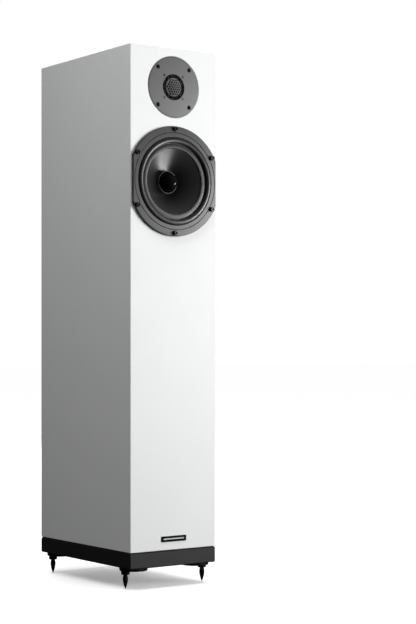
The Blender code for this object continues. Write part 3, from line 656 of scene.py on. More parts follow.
def build_cabinet():
    """Six panels cut from one lacquered outside, so that their joints don't show."""
    shell = rounded_box(CABINET_LOW, CABINET_HIGH, CABINET_EDGE)
    front_seam = Vector((0, BAFFLE_HIGH.y, 0))
    back_seam = Vector((0, BACK_LOW.y, 0))
    left = Vector((CABINET_LOW.x + WALL, 0, 0))
    right = Vector((CABINET_HIGH.x - WALL, 0, 0))
    top = Vector((0, 0, CABINET_HIGH.z - WALL))
    bottom = Vector((0, 0, CABINET_LOW.z + WALL))
    between = [(front_seam, -INWARD), (back_seam, INWARD)]
    inside = between + [(left, -RIGHT), (right, RIGHT)]
    panels = {
        "front_baffle": [(front_seam, INWARD)],
        "back_panel": [(back_seam, -INWARD)],
        "left_side_panel": between + [(left, RIGHT)],
        "right_side_panel": between + [(right, -RIGHT)],
        "top_panel": inside + [(top, -UP)],
        "bottom_panel": inside + [(bottom, UP)],
    }
    drilling = {"front_baffle": baffle_tools, "back_panel": back_tools}
    for node, planes in panels.items():
        panel = slab("lacquered_" + node, shell, planes, coat("white_lacquer"))
        if node in drilling:
            carve(panel, drilling[node]())
        settle(panel, FRAME_BODY, node)
    shell.free()


def baffle_tools():
    """The woofer's opening, the tweeter's stepped rebate and the screws' pilot holes."""
    through = BAFFLE_HIGH.y - FRONT_Y + 1
    tools = [rod("woofer_opening", OPENING_RADIUS, -1, through, WOOFER, INWARD, 96)]
    rebate = PLATE_RADIUS + 0.35
    floor = PLATE_THICKNESS + 0.3
    throat = size("tweeter_motor").x / 2 + 3
    tools.append(turned(
        "tweeter_opening",
        [
            (0, -1), (rebate + 0.5, -1), (rebate + 0.5, 0), (rebate, 0.5), (rebate, floor),
            (throat, floor), (throat, through), (0, through),
        ],
        TWEETER, INWARD, 128, coat("dark_recess"),
    ))
    for nodes, radius, start in ((WOOFER_SCREWS, 2.5, -1), (TWEETER_SCREWS, 1.9, PLATE_THICKNESS - 1)):
        for node in nodes:
            end = depths(node)[1] + 1
            tools.append(rod(f"{node}_pilot", radius, start, end, on_face(node), INWARD, 16))
    return tools


def back_tools():
    """Openings for the duct, with a little clearance, and for the terminals, inside the plate's lip."""
    tools = []
    for node, margin in (("port_duct", 0.3), ("terminal_plate", -10)):
        low, high = box_mm(node)
        low = Vector((low.x - margin, BACK_LOW.y - 2, low.z - margin))
        high = Vector((high.x + margin, BACK_Y + 2, high.z + margin))
        tools.append(brick(f"{node}_opening", low, high))
    return tools


def build_plinth():
    """A black board under the cabinet: small step of chamfer at the top, softer edge at the bottom."""
    low, high = box_mm("plinth")
    shape = bmesh.new()
    edge = PLINTH_EDGE
    levels = [(edge, 0.0)]
    for i in range(1, 5):
        angle = math.pi / 2 * i / 4
        levels.append((edge * (1 - math.sin(angle)), edge * (1 - math.cos(angle))))
    tall = high.z - low.z
    ease = 0.25
    levels += [(0, tall - edge), (ease, tall - edge + ease), (edge - ease, tall - ease), (edge, tall)]
    corner_steps = 5
    corner = 1.2
    centre = middle("plinth")
    loops = []
    for inset, height in levels:
        half_x = (high.x - low.x) / 2 - inset
        half_y = (high.y - low.y) / 2 - inset
        loop = []
        for quarter in range(4):
            sign_x = (1, -1, -1, 1)[quarter]
            sign_y = (1, 1, -1, -1)[quarter]
            for k in range(corner_steps + 1):
                angle = math.pi / 2 * (quarter + k / corner_steps)
                loop.append(shape.verts.new((
                    centre.x + sign_x * (half_x - corner) + corner * math.cos(angle),
                    centre.y + sign_y * (half_y - corner) + corner * math.sin(angle),
                    low.z + height,
                )))
        loops.append(loop)
    shape.faces.new(loops[0])
    shape.faces.new(loops[-1])
    skin(shape, loops)
    plinth = as_object("black_plinth", shape, coat("black_lacquer"))
    holes = []
    for name in CORNERS:
        end = box_mm(f"spike_{name}")[1].z + 2
        holes.append(rod(f"stud_hole_{name}", STUD_HOLE, low.z - 1, end, foot_axis(name), UP, 24))
    carve(plinth, holes)
    settle(plinth, FRAME_BODY, "plinth")


def build_badge():
    """A small black plate with a plain bright bar set in it."""
    low, high = box_mm("badge_plate")
    plate = as_object("badge_plate_gloss", rounded_box(low, high, 0.3, 3), coat("gloss_black"))
    inset_x, inset_z = 5, 3.9
    bar_low = Vector((low.x + inset_x, low.y - 0.15, low.z + inset_z))
    bar_high = Vector((high.x - inset_x, low.y + 0.25, high.z - inset_z))
    bed_low = bar_low - Vector((0.05, 0.3, 0.05))
    bed_high = bar_high + Vector((0.05, 0.02, 0.05))
    carve(plate, [brick("badge_bed", bed_low, bed_high)])
    settle(plate, FRAME_BODY, "badge_plate")
    bar = as_object("badge_bar", rounded_box(bar_low, bar_high, 0.1, 2), coat("spun_aluminium"))
    settle(bar, FRAME_BODY, slot="badge_black")


# ---------------------------------------------------------------- fasteners

ROUNDED_SHARE = 0.14
SOCKET_SHARE = 0.62


def socket_screw(name, head_radius, head_height, socket, place, shank_radius, length, knurls=0):
    """A socket-head screw whose head starts at its place and points out of the cabinet."""
    soft = head_height * ROUNDED_SHARE
    screw = turned(
        name,
        [
            (0, 0), (head_radius, 0, soft), (head_radius, head_height, 0.15),
            (shank_radius, head_height), (shank_radius, length, 0.3), (0, length),
        ],
        place, INWARD, 48, coat("black_oxide"),
    )
    corner = socket / 2 / math.cos(math.pi / 6)
    tools = [rod(name + "_socket", corner, -1, head_height * SOCKET_SHARE, place, INWARD, 6)]
    for i, (x, z) in enumerate(ring_places(head_radius + 0.22, knurls, 0)):
        tools.append(rod(
            f"{name}_knurl_{i}", 0.42, soft + 0.3, head_height - 0.3, place + Vector((x, 0, z)), INWARD, 6,
        ))
    return carve(screw, tools)


def build_screws():
    """Every driver's screws: head height, socket, shank radius and knurls, and four small ones."""
    kinds = ((WOOFER_SCREWS, 4.0, 4.0, 2.2, 18), (TWEETER_SCREWS, 2.0, 3.2, 1.6, 0))
    for nodes, head_height, socket, shank, knurls in kinds:
        for node in nodes:
            low, high = box_mm(node)
            place = middle(node)
            place.y = low.y
            screw = socket_screw(
                "black_" + node, (high.x - low.x) / 2, head_height, socket, place, shank,
                high.y - low.y, knurls,
            )
            settle(screw, FRAME_BODY, node)
    for i, (x, z) in enumerate(ring_places(SMALL_SCREW_CIRCLE, 4, 45)):
        place = TWEETER + Vector((x, 0.35, z))
        screw = socket_screw(f"plate_screw_{i + 1}", 1.85, 1.6, 1.6, place, 1.2, 5)
        settle(screw, FRAME_BODY, slot="black_steel")


# ---------------------------------------------------------------- tweeter

def build_tweeter():
    build_faceplate()
    build_guard()
    build_tweeter_inside()


def build_faceplate():
    """Round plate flush with the baffle, with a fine rolled edge and a seat for the guard."""
    seat = 1.5
    throat = 16.2
    plate = turned(
        "grey_tweeter_faceplate",
        [
            (throat, seat, 0.2), (GUARD_EDGE + 0.3, seat), (GUARD_EDGE + 0.3, 0, 0.3),
            (PLATE_RADIUS - 2.2, 0, 0.6), (PLATE_RADIUS - 1.9, 0.25, 0.3),
            (PLATE_RADIUS, 0.25, 0.5), (PLATE_RADIUS, PLATE_THICKNESS), (throat, PLATE_THICKNESS),
        ],
        TWEETER, INWARD, 160, coat("plate_coat"), 40,
    )
    tools = []
    for node in TWEETER_SCREWS:
        tools.append(head_bore(f"{node}_bore", on_face(node), head=3.7, chamfer=0.25, seat=2.6, shank=1.9))
    for i, (x, z) in enumerate(ring_places(SMALL_SCREW_CIRCLE, 4, 45)):
        centre = TWEETER + Vector((x, 0, z))
        tools.append(head_bore(f"small_bore_{i}", centre, head=2.0, chamfer=0.3, seat=2.1, shank=1.4))
    carve(plate, tools, sharp=40)
    settle(plate, FRAME_BODY, "tweeter_faceplate")


def head_bore(name, centre, head, chamfer, seat, shank):
    """A drill for a screw let into the faceplate: chamfered mouth, seat for its head, hole for its shank."""
    end = PLATE_THICKNESS + 1
    outline = [
        (0, -1), (head + chamfer, -1), (head + chamfer, 0), (head, chamfer), (head, seat), (shank, seat),
        (shank, end), (0, end),
    ]
    return turned(name, outline, centre, INWARD, 32 if head > 3 else 24, coat("plate_coat"))


def guard_depth(radius):
    """How far behind the baffle's face the guard's sheet lies: flat brim, bead, then a dome."""
    brim = 0.6
    if radius >= GUARD_DOME:
        return brim
    sphere = (GUARD_DOME ** 2 + GUARD_RISE ** 2) / (2 * GUARD_RISE)
    return brim - (math.sqrt(sphere ** 2 - radius ** 2) - (sphere - GUARD_RISE))


def add_cell(shape, x, z):
    """One hexagon of the guard's sheet: with a round hole, or whole under the bead and at the rim."""
    radius = math.hypot(x, z)
    clear_of_bead = abs(radius - GUARD_DOME) > HOLE_RADIUS - 0.1
    angles = [math.radians(30 + 360 * k / CELL_POINTS) for k in range(CELL_POINTS)]
    spokes = [Vector((math.cos(angle), 0, math.sin(angle))) for angle in angles]
    corner = HOLE_PITCH / math.sqrt(3)
    reaches = [corner, corner * math.cos(math.radians(30))] * (CELL_POINTS // 2)
    centre = Vector((x, 0, z))
    outer = [shape.verts.new(centre + spoke * reach) for spoke, reach in zip(spokes, reaches)]
    if radius < GUARD_EDGE - HOLE_RADIUS * 0.8 and clear_of_bead:
        skin(shape, [outer, [shape.verts.new(centre + spoke * HOLE_RADIUS) for spoke in spokes]])
    else:
        hub = shape.verts.new(centre)
        for near, far in zip(outer, outer[1:] + outer[:1]):
            shape.faces.new((near, far, hub))


def build_guard():
    """Perforated steel sheet: round holes on a hexagonal grid, pressed into a dome in the middle."""
    shape = bmesh.new()
    rows = int(GUARD_EDGE / (HOLE_PITCH * ROW_SHARE)) + 1
    for row in range(-rows, rows + 1):
        for column in range(-rows - 1, rows + 2):
            x = HOLE_PITCH * (column + 0.5 * (row % 2))
            z = HOLE_PITCH * ROW_SHARE * row
            if math.hypot(x, z) <= GUARD_EDGE + HOLE_PITCH:
                add_cell(shape, x, z)
    bmesh.ops.remove_doubles(shape, verts=shape.verts, dist=0.02)
    trim_to_circle(shape, GUARD_EDGE)
    for vertex in shape.verts:
        vertex.co.y = guard_depth(math.hypot(vertex.co.x, vertex.co.z))
    bmesh.ops.translate(shape, vec=TWEETER, verts=shape.verts)
    sheet = as_object("guard_sheet", shape, coat("guard_wire"), 50)
    solid = sheet.modifiers.new("sheet", "SOLIDIFY")
    solid.thickness = 0.5 * MM
    solid.offset = 0
    settle(sheet, FRAME_BODY, "tweeter_guard")
    for name, radius, half, depth in (
        ("guard_bead", GUARD_DOME - 0.3, 0.45, 0.35), ("guard_rim", GUARD_EDGE - 0.35, 0.3, 0.6),
    ):
        outline = [
            (radius + half * math.cos(math.radians(a)), depth + half * math.sin(math.radians(a)))
            for a in range(0, 360, 30)
        ]
        bead = turned(name, outline, TWEETER, INWARD, 96, coat("guard_wire"), 60)
        settle(bead, FRAME_BODY, slot=SLOTS["tweeter_guard"])


def trim_to_circle(shape, radius, count=96):
    """Cuts a flat sheet in the XZ plane down to a many-sided circle."""
    for k in range(count):
        angle = 2 * math.pi * (k + 0.5) / count
        normal = Vector((math.cos(angle), 0, math.sin(angle)))
        everything = list(shape.verts) + list(shape.edges) + list(shape.faces)
        bmesh.ops.bisect_plane(
            shape, geom=everything, plane_co=normal * radius * math.cos(math.pi / count),
            plane_no=normal, clear_outer=True,
        )


def build_tweeter_inside():
    """The dome and its roll behind the guard."""
    front, end = depths("tweeter_dome")
    rise = 4.2
    cloth = 0.35
    sphere = (DOME_RADIUS ** 2 + rise ** 2) / (2 * rise)
    half_angle = math.asin(DOME_RADIUS / sphere)
    outer = [(0, front)]
    for i in range(1, 13):
        angle = half_angle * i / 12
        outer.append((sphere * math.sin(angle), front + sphere - sphere * math.cos(angle)))
    inner = [(max(radius - cloth, 0), along + cloth) for radius, along in reversed(outer[1:])]
    outline = outer + [(DOME_RADIUS, end), (DOME_RADIUS - cloth, end)] + inner + [(0, front + cloth)]
    dome = turned("silk_dome", outline, TWEETER, INWARD, 96, coat("coated_silk"), 50)
    settle(dome, "tweeter_moving_part", "tweeter_dome")
    frame["nodes"]["tweeter_surround"].data.materials[0] = coat("coated_silk")


# ---------------------------------------------------------------- woofer

GROOVE_WIDTH = 0.8
TRIM_WIDTH = 8.0
ROLL_WIDTH = 10.5
ROLL_RISE = 5.0
LAND_WIDTH = 9.5
RUBBER = 1.0
SECTORS = 24

TRIM_OUTER = RECESS_RADIUS + 0.3
ROLL_OUTER = TRIM_OUTER - TRIM_WIDTH
ROLL_INNER = ROLL_OUTER - ROLL_WIDTH
LAND_INNER = ROLL_INNER - LAND_WIDTH
RUBBER_FRONT = depths("woofer_surround")[1] - RUBBER
CONE_FRONT = depths("woofer_cone")[0]


def build_woofer():
    build_chassis()
    build_trim_ring()
    build_surround()
    build_cone()
    build_plug()


def build_chassis():
    """The cast frame: flange with two flats and six counterbores, tapering basket with open windows."""
    seat = -1.5
    wall = OPENING_RADIUS - 0.6
    shelf = CHASSIS_DEPTH - 15
    shelf_outer = 46
    back = size("woofer_front_plate").x / 2 + 2
    chassis = turned(
        "cast_woofer_chassis",
        [
            (WOOFER_RADIUS, -0.3, 0.3), (WOOFER_RADIUS, FLANGE_FRONT, 0.9),
            (TRIM_OUTER, FLANGE_FRONT, 0.35), (TRIM_OUTER, seat),
            (wall - 3.5, seat), (wall - 3.5, 10), (shelf_outer, shelf), (shelf_outer - 6, shelf),
            (shelf_outer - 6, CHASSIS_DEPTH - 4), (COIL_RADIUS + 10, CHASSIS_DEPTH - 4),
            (COIL_RADIUS + 10, CHASSIS_DEPTH), (back, CHASSIS_DEPTH, 1), (back + 1, shelf, 1),
            (wall, 8, 1), (wall, -0.3),
        ],
        WOOFER, INWARD, 192, coat("frame_coat"), 40,
    )
    reach = WOOFER_RADIUS + 2
    tools = []
    for sign in (-1, 1):
        near = Vector((sign * FLANGE_FLAT, FRONT_Y + FLANGE_FRONT - 2, WOOFER.z - reach))
        far = Vector((sign * reach, FRONT_Y + 2, WOOFER.z + reach))
        low = Vector(map(min, near, far))
        high = Vector(map(max, near, far))
        tools.append(brick(f"flange_flat_{sign + 1}", low, high))
    for node in WOOFER_SCREWS:
        tools.append(rod(f"{node}_hole", 2.6, FLANGE_FRONT - 1, 1, on_face(node), INWARD, 24))
    carve(chassis, tools, sharp=40)
    windows = []
    for i in range(6):
        window = brick(
            f"basket_window_{i}", Vector((shelf_outer - 2, 11, -14)), Vector((wall + 6, shelf - 3, 14)),
        )
        window.location = WOOFER * MM
        window.rotation_euler = (0, math.radians(60 * i), 0)
        windows.append(window)
    carve(chassis, windows, sharp=40)
    soften = chassis.modifiers.new("soft_edge", "BEVEL")
    soften.width = 0.25 * MM
    soften.segments = 2
    soften.limit_method = "ANGLE"
    soften.angle_limit = math.radians(60)
    settle(chassis, FRAME_BODY, "woofer_chassis")


def build_trim_ring():
    """The clamping ring that covers the surround's outer land, a hair smaller than its recess."""
    outer = TRIM_OUTER - GROOVE_WIDTH
    ring = turned(
        "woofer_trim_ring",
        [
            (outer, FLANGE_FRONT, 0.35), (outer, RUBBER_FRONT - 0.2),
            (ROLL_OUTER + 0.2, RUBBER_FRONT - 0.2), (ROLL_OUTER + 0.2, FLANGE_FRONT, 0.6),
        ],
        WOOFER, INWARD, 192, coat("frame_coat"), 40,
    )
    settle(ring, FRAME_BODY, slot=SLOTS["woofer_chassis"])


def surround_outline():
    """Land on the cone's rim, half roll, and land under the trim ring, as front and back lines."""
    centre = (ROLL_INNER + ROLL_OUTER) / 2
    half = ROLL_WIDTH / 2
    front = [(LAND_INNER + 0.5, RUBBER_FRONT + 0.1), (LAND_INNER + 1.2, RUBBER_FRONT - 0.15)]
    front.append((ROLL_INNER - 1.4, RUBBER_FRONT - 0.15))
    front.append((ROLL_INNER - 0.5, RUBBER_FRONT + 0.25))
    steps = 20
    for i in range(steps + 1):
        angle = math.pi * i / steps
        front.append((
            centre - half * math.cos(angle),
            RUBBER_FRONT + 0.2 - (ROLL_RISE + 0.2) * math.sin(angle) ** 0.9,
        ))
    front.append((RECESS_RADIUS - 0.3, RUBBER_FRONT + 0.1))
    back = [(RECESS_RADIUS - 0.3, RUBBER_FRONT + RUBBER)]
    for i in range(9):
        angle = math.pi * (1 - i / 8)
        back.append((
            centre - (half - RUBBER) * math.cos(angle),
            RUBBER_FRONT + RUBBER - (ROLL_RISE - 0.2) * max(math.sin(angle), 0),
        ))
    back.append((LAND_INNER + 0.5, RUBBER_FRONT + RUBBER - 0.1))
    return front + back


def build_surround():
    """The rubber roll, in narrow sectors that reach from frame to cone."""
    outline = surround_outline()
    steps = 8
    for sector in range(SECTORS):
        start = 2 * math.pi * sector / SECTORS
        shape = bmesh.new()
        columns = []
        for k in range(steps + 1):
            angle = start + 2 * math.pi / SECTORS * k / steps
            spoke = Vector((math.cos(angle), 0, math.sin(angle)))
            columns.append([shape.verts.new(WOOFER + spoke * r + INWARD * d) for r, d in outline])
        skin(shape, columns)
        piece = as_object(f"woofer_surround_{sector + 1:02d}", shape, coat("moulded_rubber"), 70)
        aim = start + math.pi / SECTORS
        spoke = Vector((math.cos(aim), 0, math.sin(aim)))
        set_round_normals(piece, outline)
        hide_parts("woofer_surround")
        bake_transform(piece)


def set_round_normals(piece, outline):
    """Gives a sector the normals of the whole turned ring, so that its ends don't show."""
    count = len(outline)
    slopes = []
    for i in range(count):
        ahead = Vector(outline[(i + 1) % count]) - Vector(outline[i])
        behind = Vector(outline[i]) - Vector(outline[i - 1])
        along = ahead.normalized() + behind.normalized()
        slopes.append(Vector((-along.y, along.x)).normalized())
    mesh = piece.data
    normals = []
    for vertex in mesh.vertices:
        offset = vertex.co / MM - WOOFER
        radius = math.hypot(offset.x, offset.z)
        here = Vector((radius, offset.y))
        nearest = min(range(count), key=lambda i: (Vector(outline[i]) - here).length_squared)
        slope = slopes[nearest]
        spoke = Vector((offset.x, 0, offset.z)) / radius
        normals.append(-(spoke * slope.x + INWARD * slope.y))
    mesh.normals_split_custom_set_from_vertices(normals)


def cone_front(radius):
    share = (LAND_INNER - radius) / (LAND_INNER - COIL_RADIUS)
    return CONE_FRONT + (NECK_DEPTH - 1.6 - CONE_FRONT) * share * (1.12 - 0.12 * share)


def build_cone():
    """The polymer cone, its neck ring and the coil's former."""
    count = 24
    face = []
    for i in range(count + 1):
        radius = LAND_INNER + 0.4 + (COIL_RADIUS + 0.9 - LAND_INNER - 0.4) * i / count
        face.append((radius, cone_front(radius)))
    rear = [(radius, along + 1.1) for radius, along in reversed(face)]
    rim = [(RIM_RADIUS, CONE_FRONT + 1.1), (RIM_RADIUS, CONE_FRONT + 0.1)]
    outline = face + rear + rim
    cone = turned("black_woofer_cone", outline, WOOFER, INWARD, 192, coat("cone_polymer"), 50)
    settle(cone, "woofer_moving_part", "woofer_cone")
    neck = face[-1][1]
    collar = turned(
        "coil_collar",
        [
            (COIL_RADIUS - 0.6, neck - 0.2, 0.2), (COIL_RADIUS - 0.6, neck - 1.1, 0.25),
            (COIL_RADIUS + 0.5, neck - 1.1, 0.25), (COIL_RADIUS + 1.0, neck - 0.2, 0.2),
        ],
        WOOFER, INWARD, 128, coat("collar_finish"), 60,
    )
    settle(collar, "woofer_moving_part", slot=SLOTS["woofer_cone"])
    frame["nodes"]["woofer_voice_coil"].data.materials[0] = coat("enamelled_wire")


def build_plug():
    """The fixed bullet in the cone's middle: an ellipse turned about the woofer's axis."""
    length = 22.0
    outline = [(0, PLUG_TIP)]
    steps = 24
    for i in range(1, steps + 1):
        angle = math.pi / 2 * i / steps
        outline.append((PLUG_RADIUS * math.sin(angle), PLUG_TIP + length * (1 - math.cos(angle))))
    outline += [(PLUG_RADIUS, PLUG_BASE - 0.4, 0.4), (0, PLUG_BASE)]
    plug = turned("polished_phase_plug", outline, WOOFER, INWARD, 128, coat("gloss_black"), 50)
    settle(plug, FRAME_BODY, "woofer_phase_plug")


# ---------------------------------------------------------------- feet

STUD_BORE = 4.3


def build_feet():
    for corner in CORNERS:
        build_disc(corner)
        build_nut(corner)
        build_spike(corner)


def foot_axis(corner):
    centre = middle(f"spike_{corner}")
    centre.z = 0
    return centre


def build_disc(corner):
    node = f"foot_disc_{corner}"
    low, high = box_mm(node)
    radius = (high.x - low.x) / 2
    centre = middle(node)
    centre.z = 0
    disc = turned(
        "turned_" + node,
        [(0, high.z), (radius, high.z, 0.3), (radius, low.z, 0.9), (0, low.z)],
        centre, UP, 96, coat("black_chrome"),
    )
    carve(disc, [rod(node + "_hole", STUD_BORE, low.z - 1, high.z + 1, foot_axis(corner), UP, 32)])
    settle(disc, FRAME_BODY, node)


def build_nut(corner):
    """A round lock nut with a chamfered lower edge and four spanner notches."""
    node = f"lock_nut_{corner}"
    low, high = box_mm(node)
    radius = (high.x - low.x) / 2
    nut = turned(
        "turned_" + node,
        [
            (STUD_BORE, high.z, 0.2), (radius, high.z, 0.3), (radius, low.z + 0.7, 0.2),
            (radius - 0.7, low.z, 0.2), (STUD_BORE, low.z, 0.3),
        ],
        foot_axis(corner), UP, 64, coat("black_chrome"),
    )
    notches = []
    for i, (x, y) in enumerate(ring_places(radius + 0.5, 4, 45)):
        centre = foot_axis(corner) + Vector((x, y, 0))
        notches.append(rod(f"{node}_notch_{i}", 1.2, low.z - 1, high.z + 1, centre, UP, 12))
    carve(nut, notches)
    settle(nut, node, node)


def build_spike(corner):
    """A turned spike: threaded stud, slight waist, long belly and a sharp point."""
    node = f"spike_{corner}"
    low, high = box_mm(node)
    top = high.z - 22
    bulge = (high.x - low.x) / 2
    stud = 3.8
    outline = [(0, high.z), (stud, high.z, 0.4)]
    pitch = 1.25
    turns = int((high.z - top - 2) / pitch)
    for i in range(turns):
        start = high.z - 1 - i * pitch
        outline += [(stud, start), (stud - 0.45, start - pitch * 0.5)]
    outline += [(stud - 0.3, top + 0.4), (stud - 0.3, top)]
    steps = 20
    for i in range(steps + 1):
        share = i / steps
        outline.append((spike_radius(share, bulge, stud), top * (1 - share)))
    outline.append((0, 0))
    spike = turned("turned_" + node, outline, foot_axis(corner), UP, 48, coat("black_chrome"), 50)
    settle(spike, node, node)


def spike_radius(share, bulge, stud):
    """The spike's radius from its shoulder (0) to its tip (1)."""
    widest = 0.27
    if share < widest:
        return stud - 0.3 + (bulge - stud + 0.3) * math.sin(math.pi / 2 * share / widest)
    taper = (share - widest) / (1 - widest)
    return max(bulge * (1 - taper ** 1.7), 0.5)


# ---------------------------------------------------------------- back

KNOB_BORE = 3.6


def build_back():
    build_port()
    build_terminal_plate()
    for side in ("negative", "positive"):
        build_post(side)


def build_port():
    """A wide duct in two halves, its mouths rounded like a nozzle."""
    low, high = box_mm("port_duct")
    duct = as_object("moulded_port_duct", rounded_box(low, high, 0.6, 2), coat("moulded_black"))
    wall = 4.0
    tools = []
    for sign in (-1, 1):
        left, right = sorted((sign * wall / 2, sign * (high.x - wall)))
        tools.append(channel(f"port_channel_{sign + 1}", left, right, low, high, wall))
    carve(duct, tools, sharp=45)
    settle(duct, FRAME_BODY, "port_duct")


def channel(name, left, right, low, high, wall):
    """A rectangular passage that flares at both ends."""
    shape = bmesh.new()
    flare = 2.6
    length = high.y - low.y
    levels = [(-1.0, flare)]
    steps = 6
    for i in range(steps + 1):
        angle = math.pi / 2 * i / steps
        levels.append((flare * 3 * math.sin(angle), flare * (1 - math.sin(angle))))
    far = [(length - along, spread) for along, spread in reversed(levels)]
    loops = []
    for along, spread in levels + far:
        inner = min(spread, wall / 2 - 0.4)
        x0, x1 = (left - spread, right + inner) if left < 0 else (left - inner, right + spread)
        z0, z1 = low.z + wall - spread, high.z - wall + spread
        y = low.y + along
        loops.append([shape.verts.new(p) for p in ((x0, y, z0), (x1, y, z0), (x1, y, z1), (x0, y, z1))])
    shape.faces.new(loops[0])
    shape.faces.new(loops[-1])
    skin(shape, loops)
    return as_object(name, shape, coat("dark_recess"))


def build_terminal_plate():
    low, high = box_mm("terminal_plate")
    plate = as_object("moulded_terminal_plate", rounded_box(low, high, 1.0, 3), coat("moulded_black"))
    tools = []
    holes = []
    for side in ("negative", "positive"):
        centre = middle(f"binding_post_{side}")
        centre.y = high.y
        tools.append(rod(f"post_hole_{side}", 2.8, -5, 1, centre, INWARD, 24))
    for x in (low.x + 6, high.x - 6):
        for z in (low.z + 6, high.z - 6):
            holes.append(Vector((x, high.y, z)))
            tools.append(rod("plate_counterbore", 3.4, -1.8, 1, Vector((x, high.y, z)), INWARD, 24))
    carve(plate, tools)
    settle(plate, FRAME_BODY, "terminal_plate")
    for i, place in enumerate(holes):
        screw = turned(
            f"terminal_screw_{i + 1}",
            [(0, -0.4), (2.6, -0.4, 0.5), (2.9, -1.6, 0.2), (0, -1.6)],
            place, INWARD, 32, coat("black_oxide"),
        )
        for half_x, half_z in ((1.9, 0.35), (0.35, 1.9)):
            blade = brick("blade", Vector((-half_x, -1, -half_z)), Vector((half_x, 1, half_z)))
            blade.location = place * MM
            carve(screw, [blade])
        settle(screw, FRAME_BODY, slot="black_steel")
    for side, wide in (("negative", 1), ("positive", 2)):
        build_polarity_mark(side, wide, high.y)


def build_polarity_mark(side, strokes, face):
    """A raised plain minus or plus beside each post."""
    centre = middle(f"binding_post_{side}") + Vector((0, 0, 17))
    half, thin = 3.2, 0.55
    bars = []
    for half_x, half_z in ((half, thin), (thin, half))[:strokes]:
        low = Vector((centre.x - half_x, face - 0.05, centre.z - half_z))
        high = Vector((centre.x + half_x, face + 0.35, centre.z + half_z))
        bar = rounded_box(low, high, 0.12, 2)
        bars.append(as_object(f"polarity_mark_{side}", bar, coat("spun_aluminium")))
    mark, *crossing = bars
    if crossing:
        carve(mark, crossing, "UNION")
    settle(mark, FRAME_BODY, slot=SLOTS["terminal_plate"])


def build_post(side):
    post = f"binding_post_{side}"
    low, high = box_mm(post)
    face = box_mm("terminal_plate")[1].y
    centre = middle(post)
    centre.y = face
    tail = low.y - face
    end = high.y - face
    outline = [
        (0, tail), (2.5, tail, 0.3), (2.5, 0.3), (8, 0.3, 0.3), (8, 3.3, 0.5), (3.2, 3.3),
    ]
    pitch = 1.0
    for i in range(int((end - 4.5) / pitch)):
        start = 4 + i * pitch
        outline += [(3.2, start), (2.85, start + pitch / 2)]
    outline += [(3.1, end, 0.3), (2.1, end, 0.2), (2.1, end - 14), (0, end - 14)]
    made = turned("plated_" + post, outline, centre, INWARD, 48, coat("gold_plate"))
    settle(made, FRAME_BODY, post)
    washer = f"clamp_washer_{side}"
    low, high = box_mm(washer)
    ring = turned(
        "plated_" + washer,
        [
            (KNOB_BORE, low.y - face, 0.2), (7.5, low.y - face, 0.3), (7.5, high.y - face, 0.3),
            (KNOB_BORE, high.y - face, 0.2),
        ],
        centre, INWARD, 64, coat("gold_plate"),
    )
    settle(ring, washer, washer)
    build_knob(side, centre, face)


def build_knob(side, centre, face):
    """A fluted insulated knob with a plated end and a coloured band."""
    node = f"post_knob_{side}"
    low, high = box_mm(node)
    start = low.y - face
    end = high.y - face
    radius = (high.x - low.x) / 2
    finish = coat("knob_red" if side == "positive" else "knob_black")
    knob = turned(
        "fluted_" + node,
        [
            (KNOB_BORE, start, 0.2), (radius, start, 0.5), (radius, start + 2.5, 0.3),
            (radius - 0.5, start + 2.9, 0.2), (radius - 0.5, start + 3.4, 0.2), (radius, start + 3.8, 0.3),
            (radius, end - 0.6, 0.5), (radius - 1.4, end, 0.4), (4.6, end, 0.2), (4.6, end - 0.8),
            (2.1, end - 0.8), (2.1, end - 3), (KNOB_BORE, end - 3),
        ],
        centre, INWARD, 96, finish,
    )
    flutes = []
    for i, (x, z) in enumerate(ring_places(radius + 0.5, 18, 0)):
        place = centre + Vector((x, 0, z))
        flutes.append(rod(f"{node}_flute_{i}", 0.9, start + 4.6, end + 1, place, INWARD, 10))
    carve(knob, flutes)
    settle(knob, node, node)
    cap = turned(
        f"knob_end_{side}",
        [(2.2, end - 0.7, 0.1), (4.5, end - 0.7), (4.5, end - 0.05, 0.2), (2.2, end - 0.05, 0.3)],
        centre, INWARD, 48, coat("gold_plate"),
    )
    settle(cap, node, slot=SLOTS["binding_post_positive"])


# ---------------------------------------------------------------- inside

def finish_inside():
    """Better finishes for the frame's own pieces that stay: everything held inside the cabinet."""
    finishes = {
        "cabinet_brace": "raw_board", "damping_pad": "needled_felt", "woofer_spider": "resin_cloth",
        "woofer_front_plate": "zinc_plate", "woofer_magnet": "ferrite", "woofer_pole": "black_oxide",
        "tweeter_motor": "zinc_plate", "tweeter_rear_chamber": "moulded_black",
        "crossover_board": "solder_mask", "crossover_inductor": "enamelled_wire",
        "crossover_capacitor": "knob_black", "woofer_lead": "red_jacket", "tweeter_lead": "red_jacket",
    }
    for node, finish in finishes.items():
        mesh = frame["nodes"][node].data
        for i in range(len(mesh.materials)):
            mesh.materials[i] = coat(finish)


# ---------------------------------------------------------------- camera, floor and light

CAMERA_PLACE = Vector((-1575.6, CABINET_MIDDLE.y - 2434.3, 415.4))
CAMERA_YAW = math.radians(35.867)
CAMERA_LENS = 91.58
CAMERA_SHIFT = 0.0600


def place_camera():
    """A long lens held level, from the front and left, raised in the frame by its shift."""
    camera = bpy.data.objects.new("camera", bpy.data.cameras.new("camera"))
    camera.data.sensor_width = 36
    camera.data.lens = CAMERA_LENS
    camera.data.shift_y = CAMERA_SHIFT
    camera.data.clip_start = 0.05
    camera.data.clip_end = 100
    camera.location = CAMERA_PLACE * MM
    camera.rotation_euler = (math.pi / 2, 0, -CAMERA_YAW)
    bpy.context.scene.collection.objects.link(camera)
    bpy.context.scene.camera = camera


def stage_floor():
    shape = bmesh.new()
    bmesh.ops.create_grid(shape, x_segments=1, y_segments=1, size=30000)
    floor = as_object("pale_floor", shape, coat("floor_paint"))
    floor.visible_diffuse = False
    floor.visible_glossy = False
    floor.visible_shadow = False


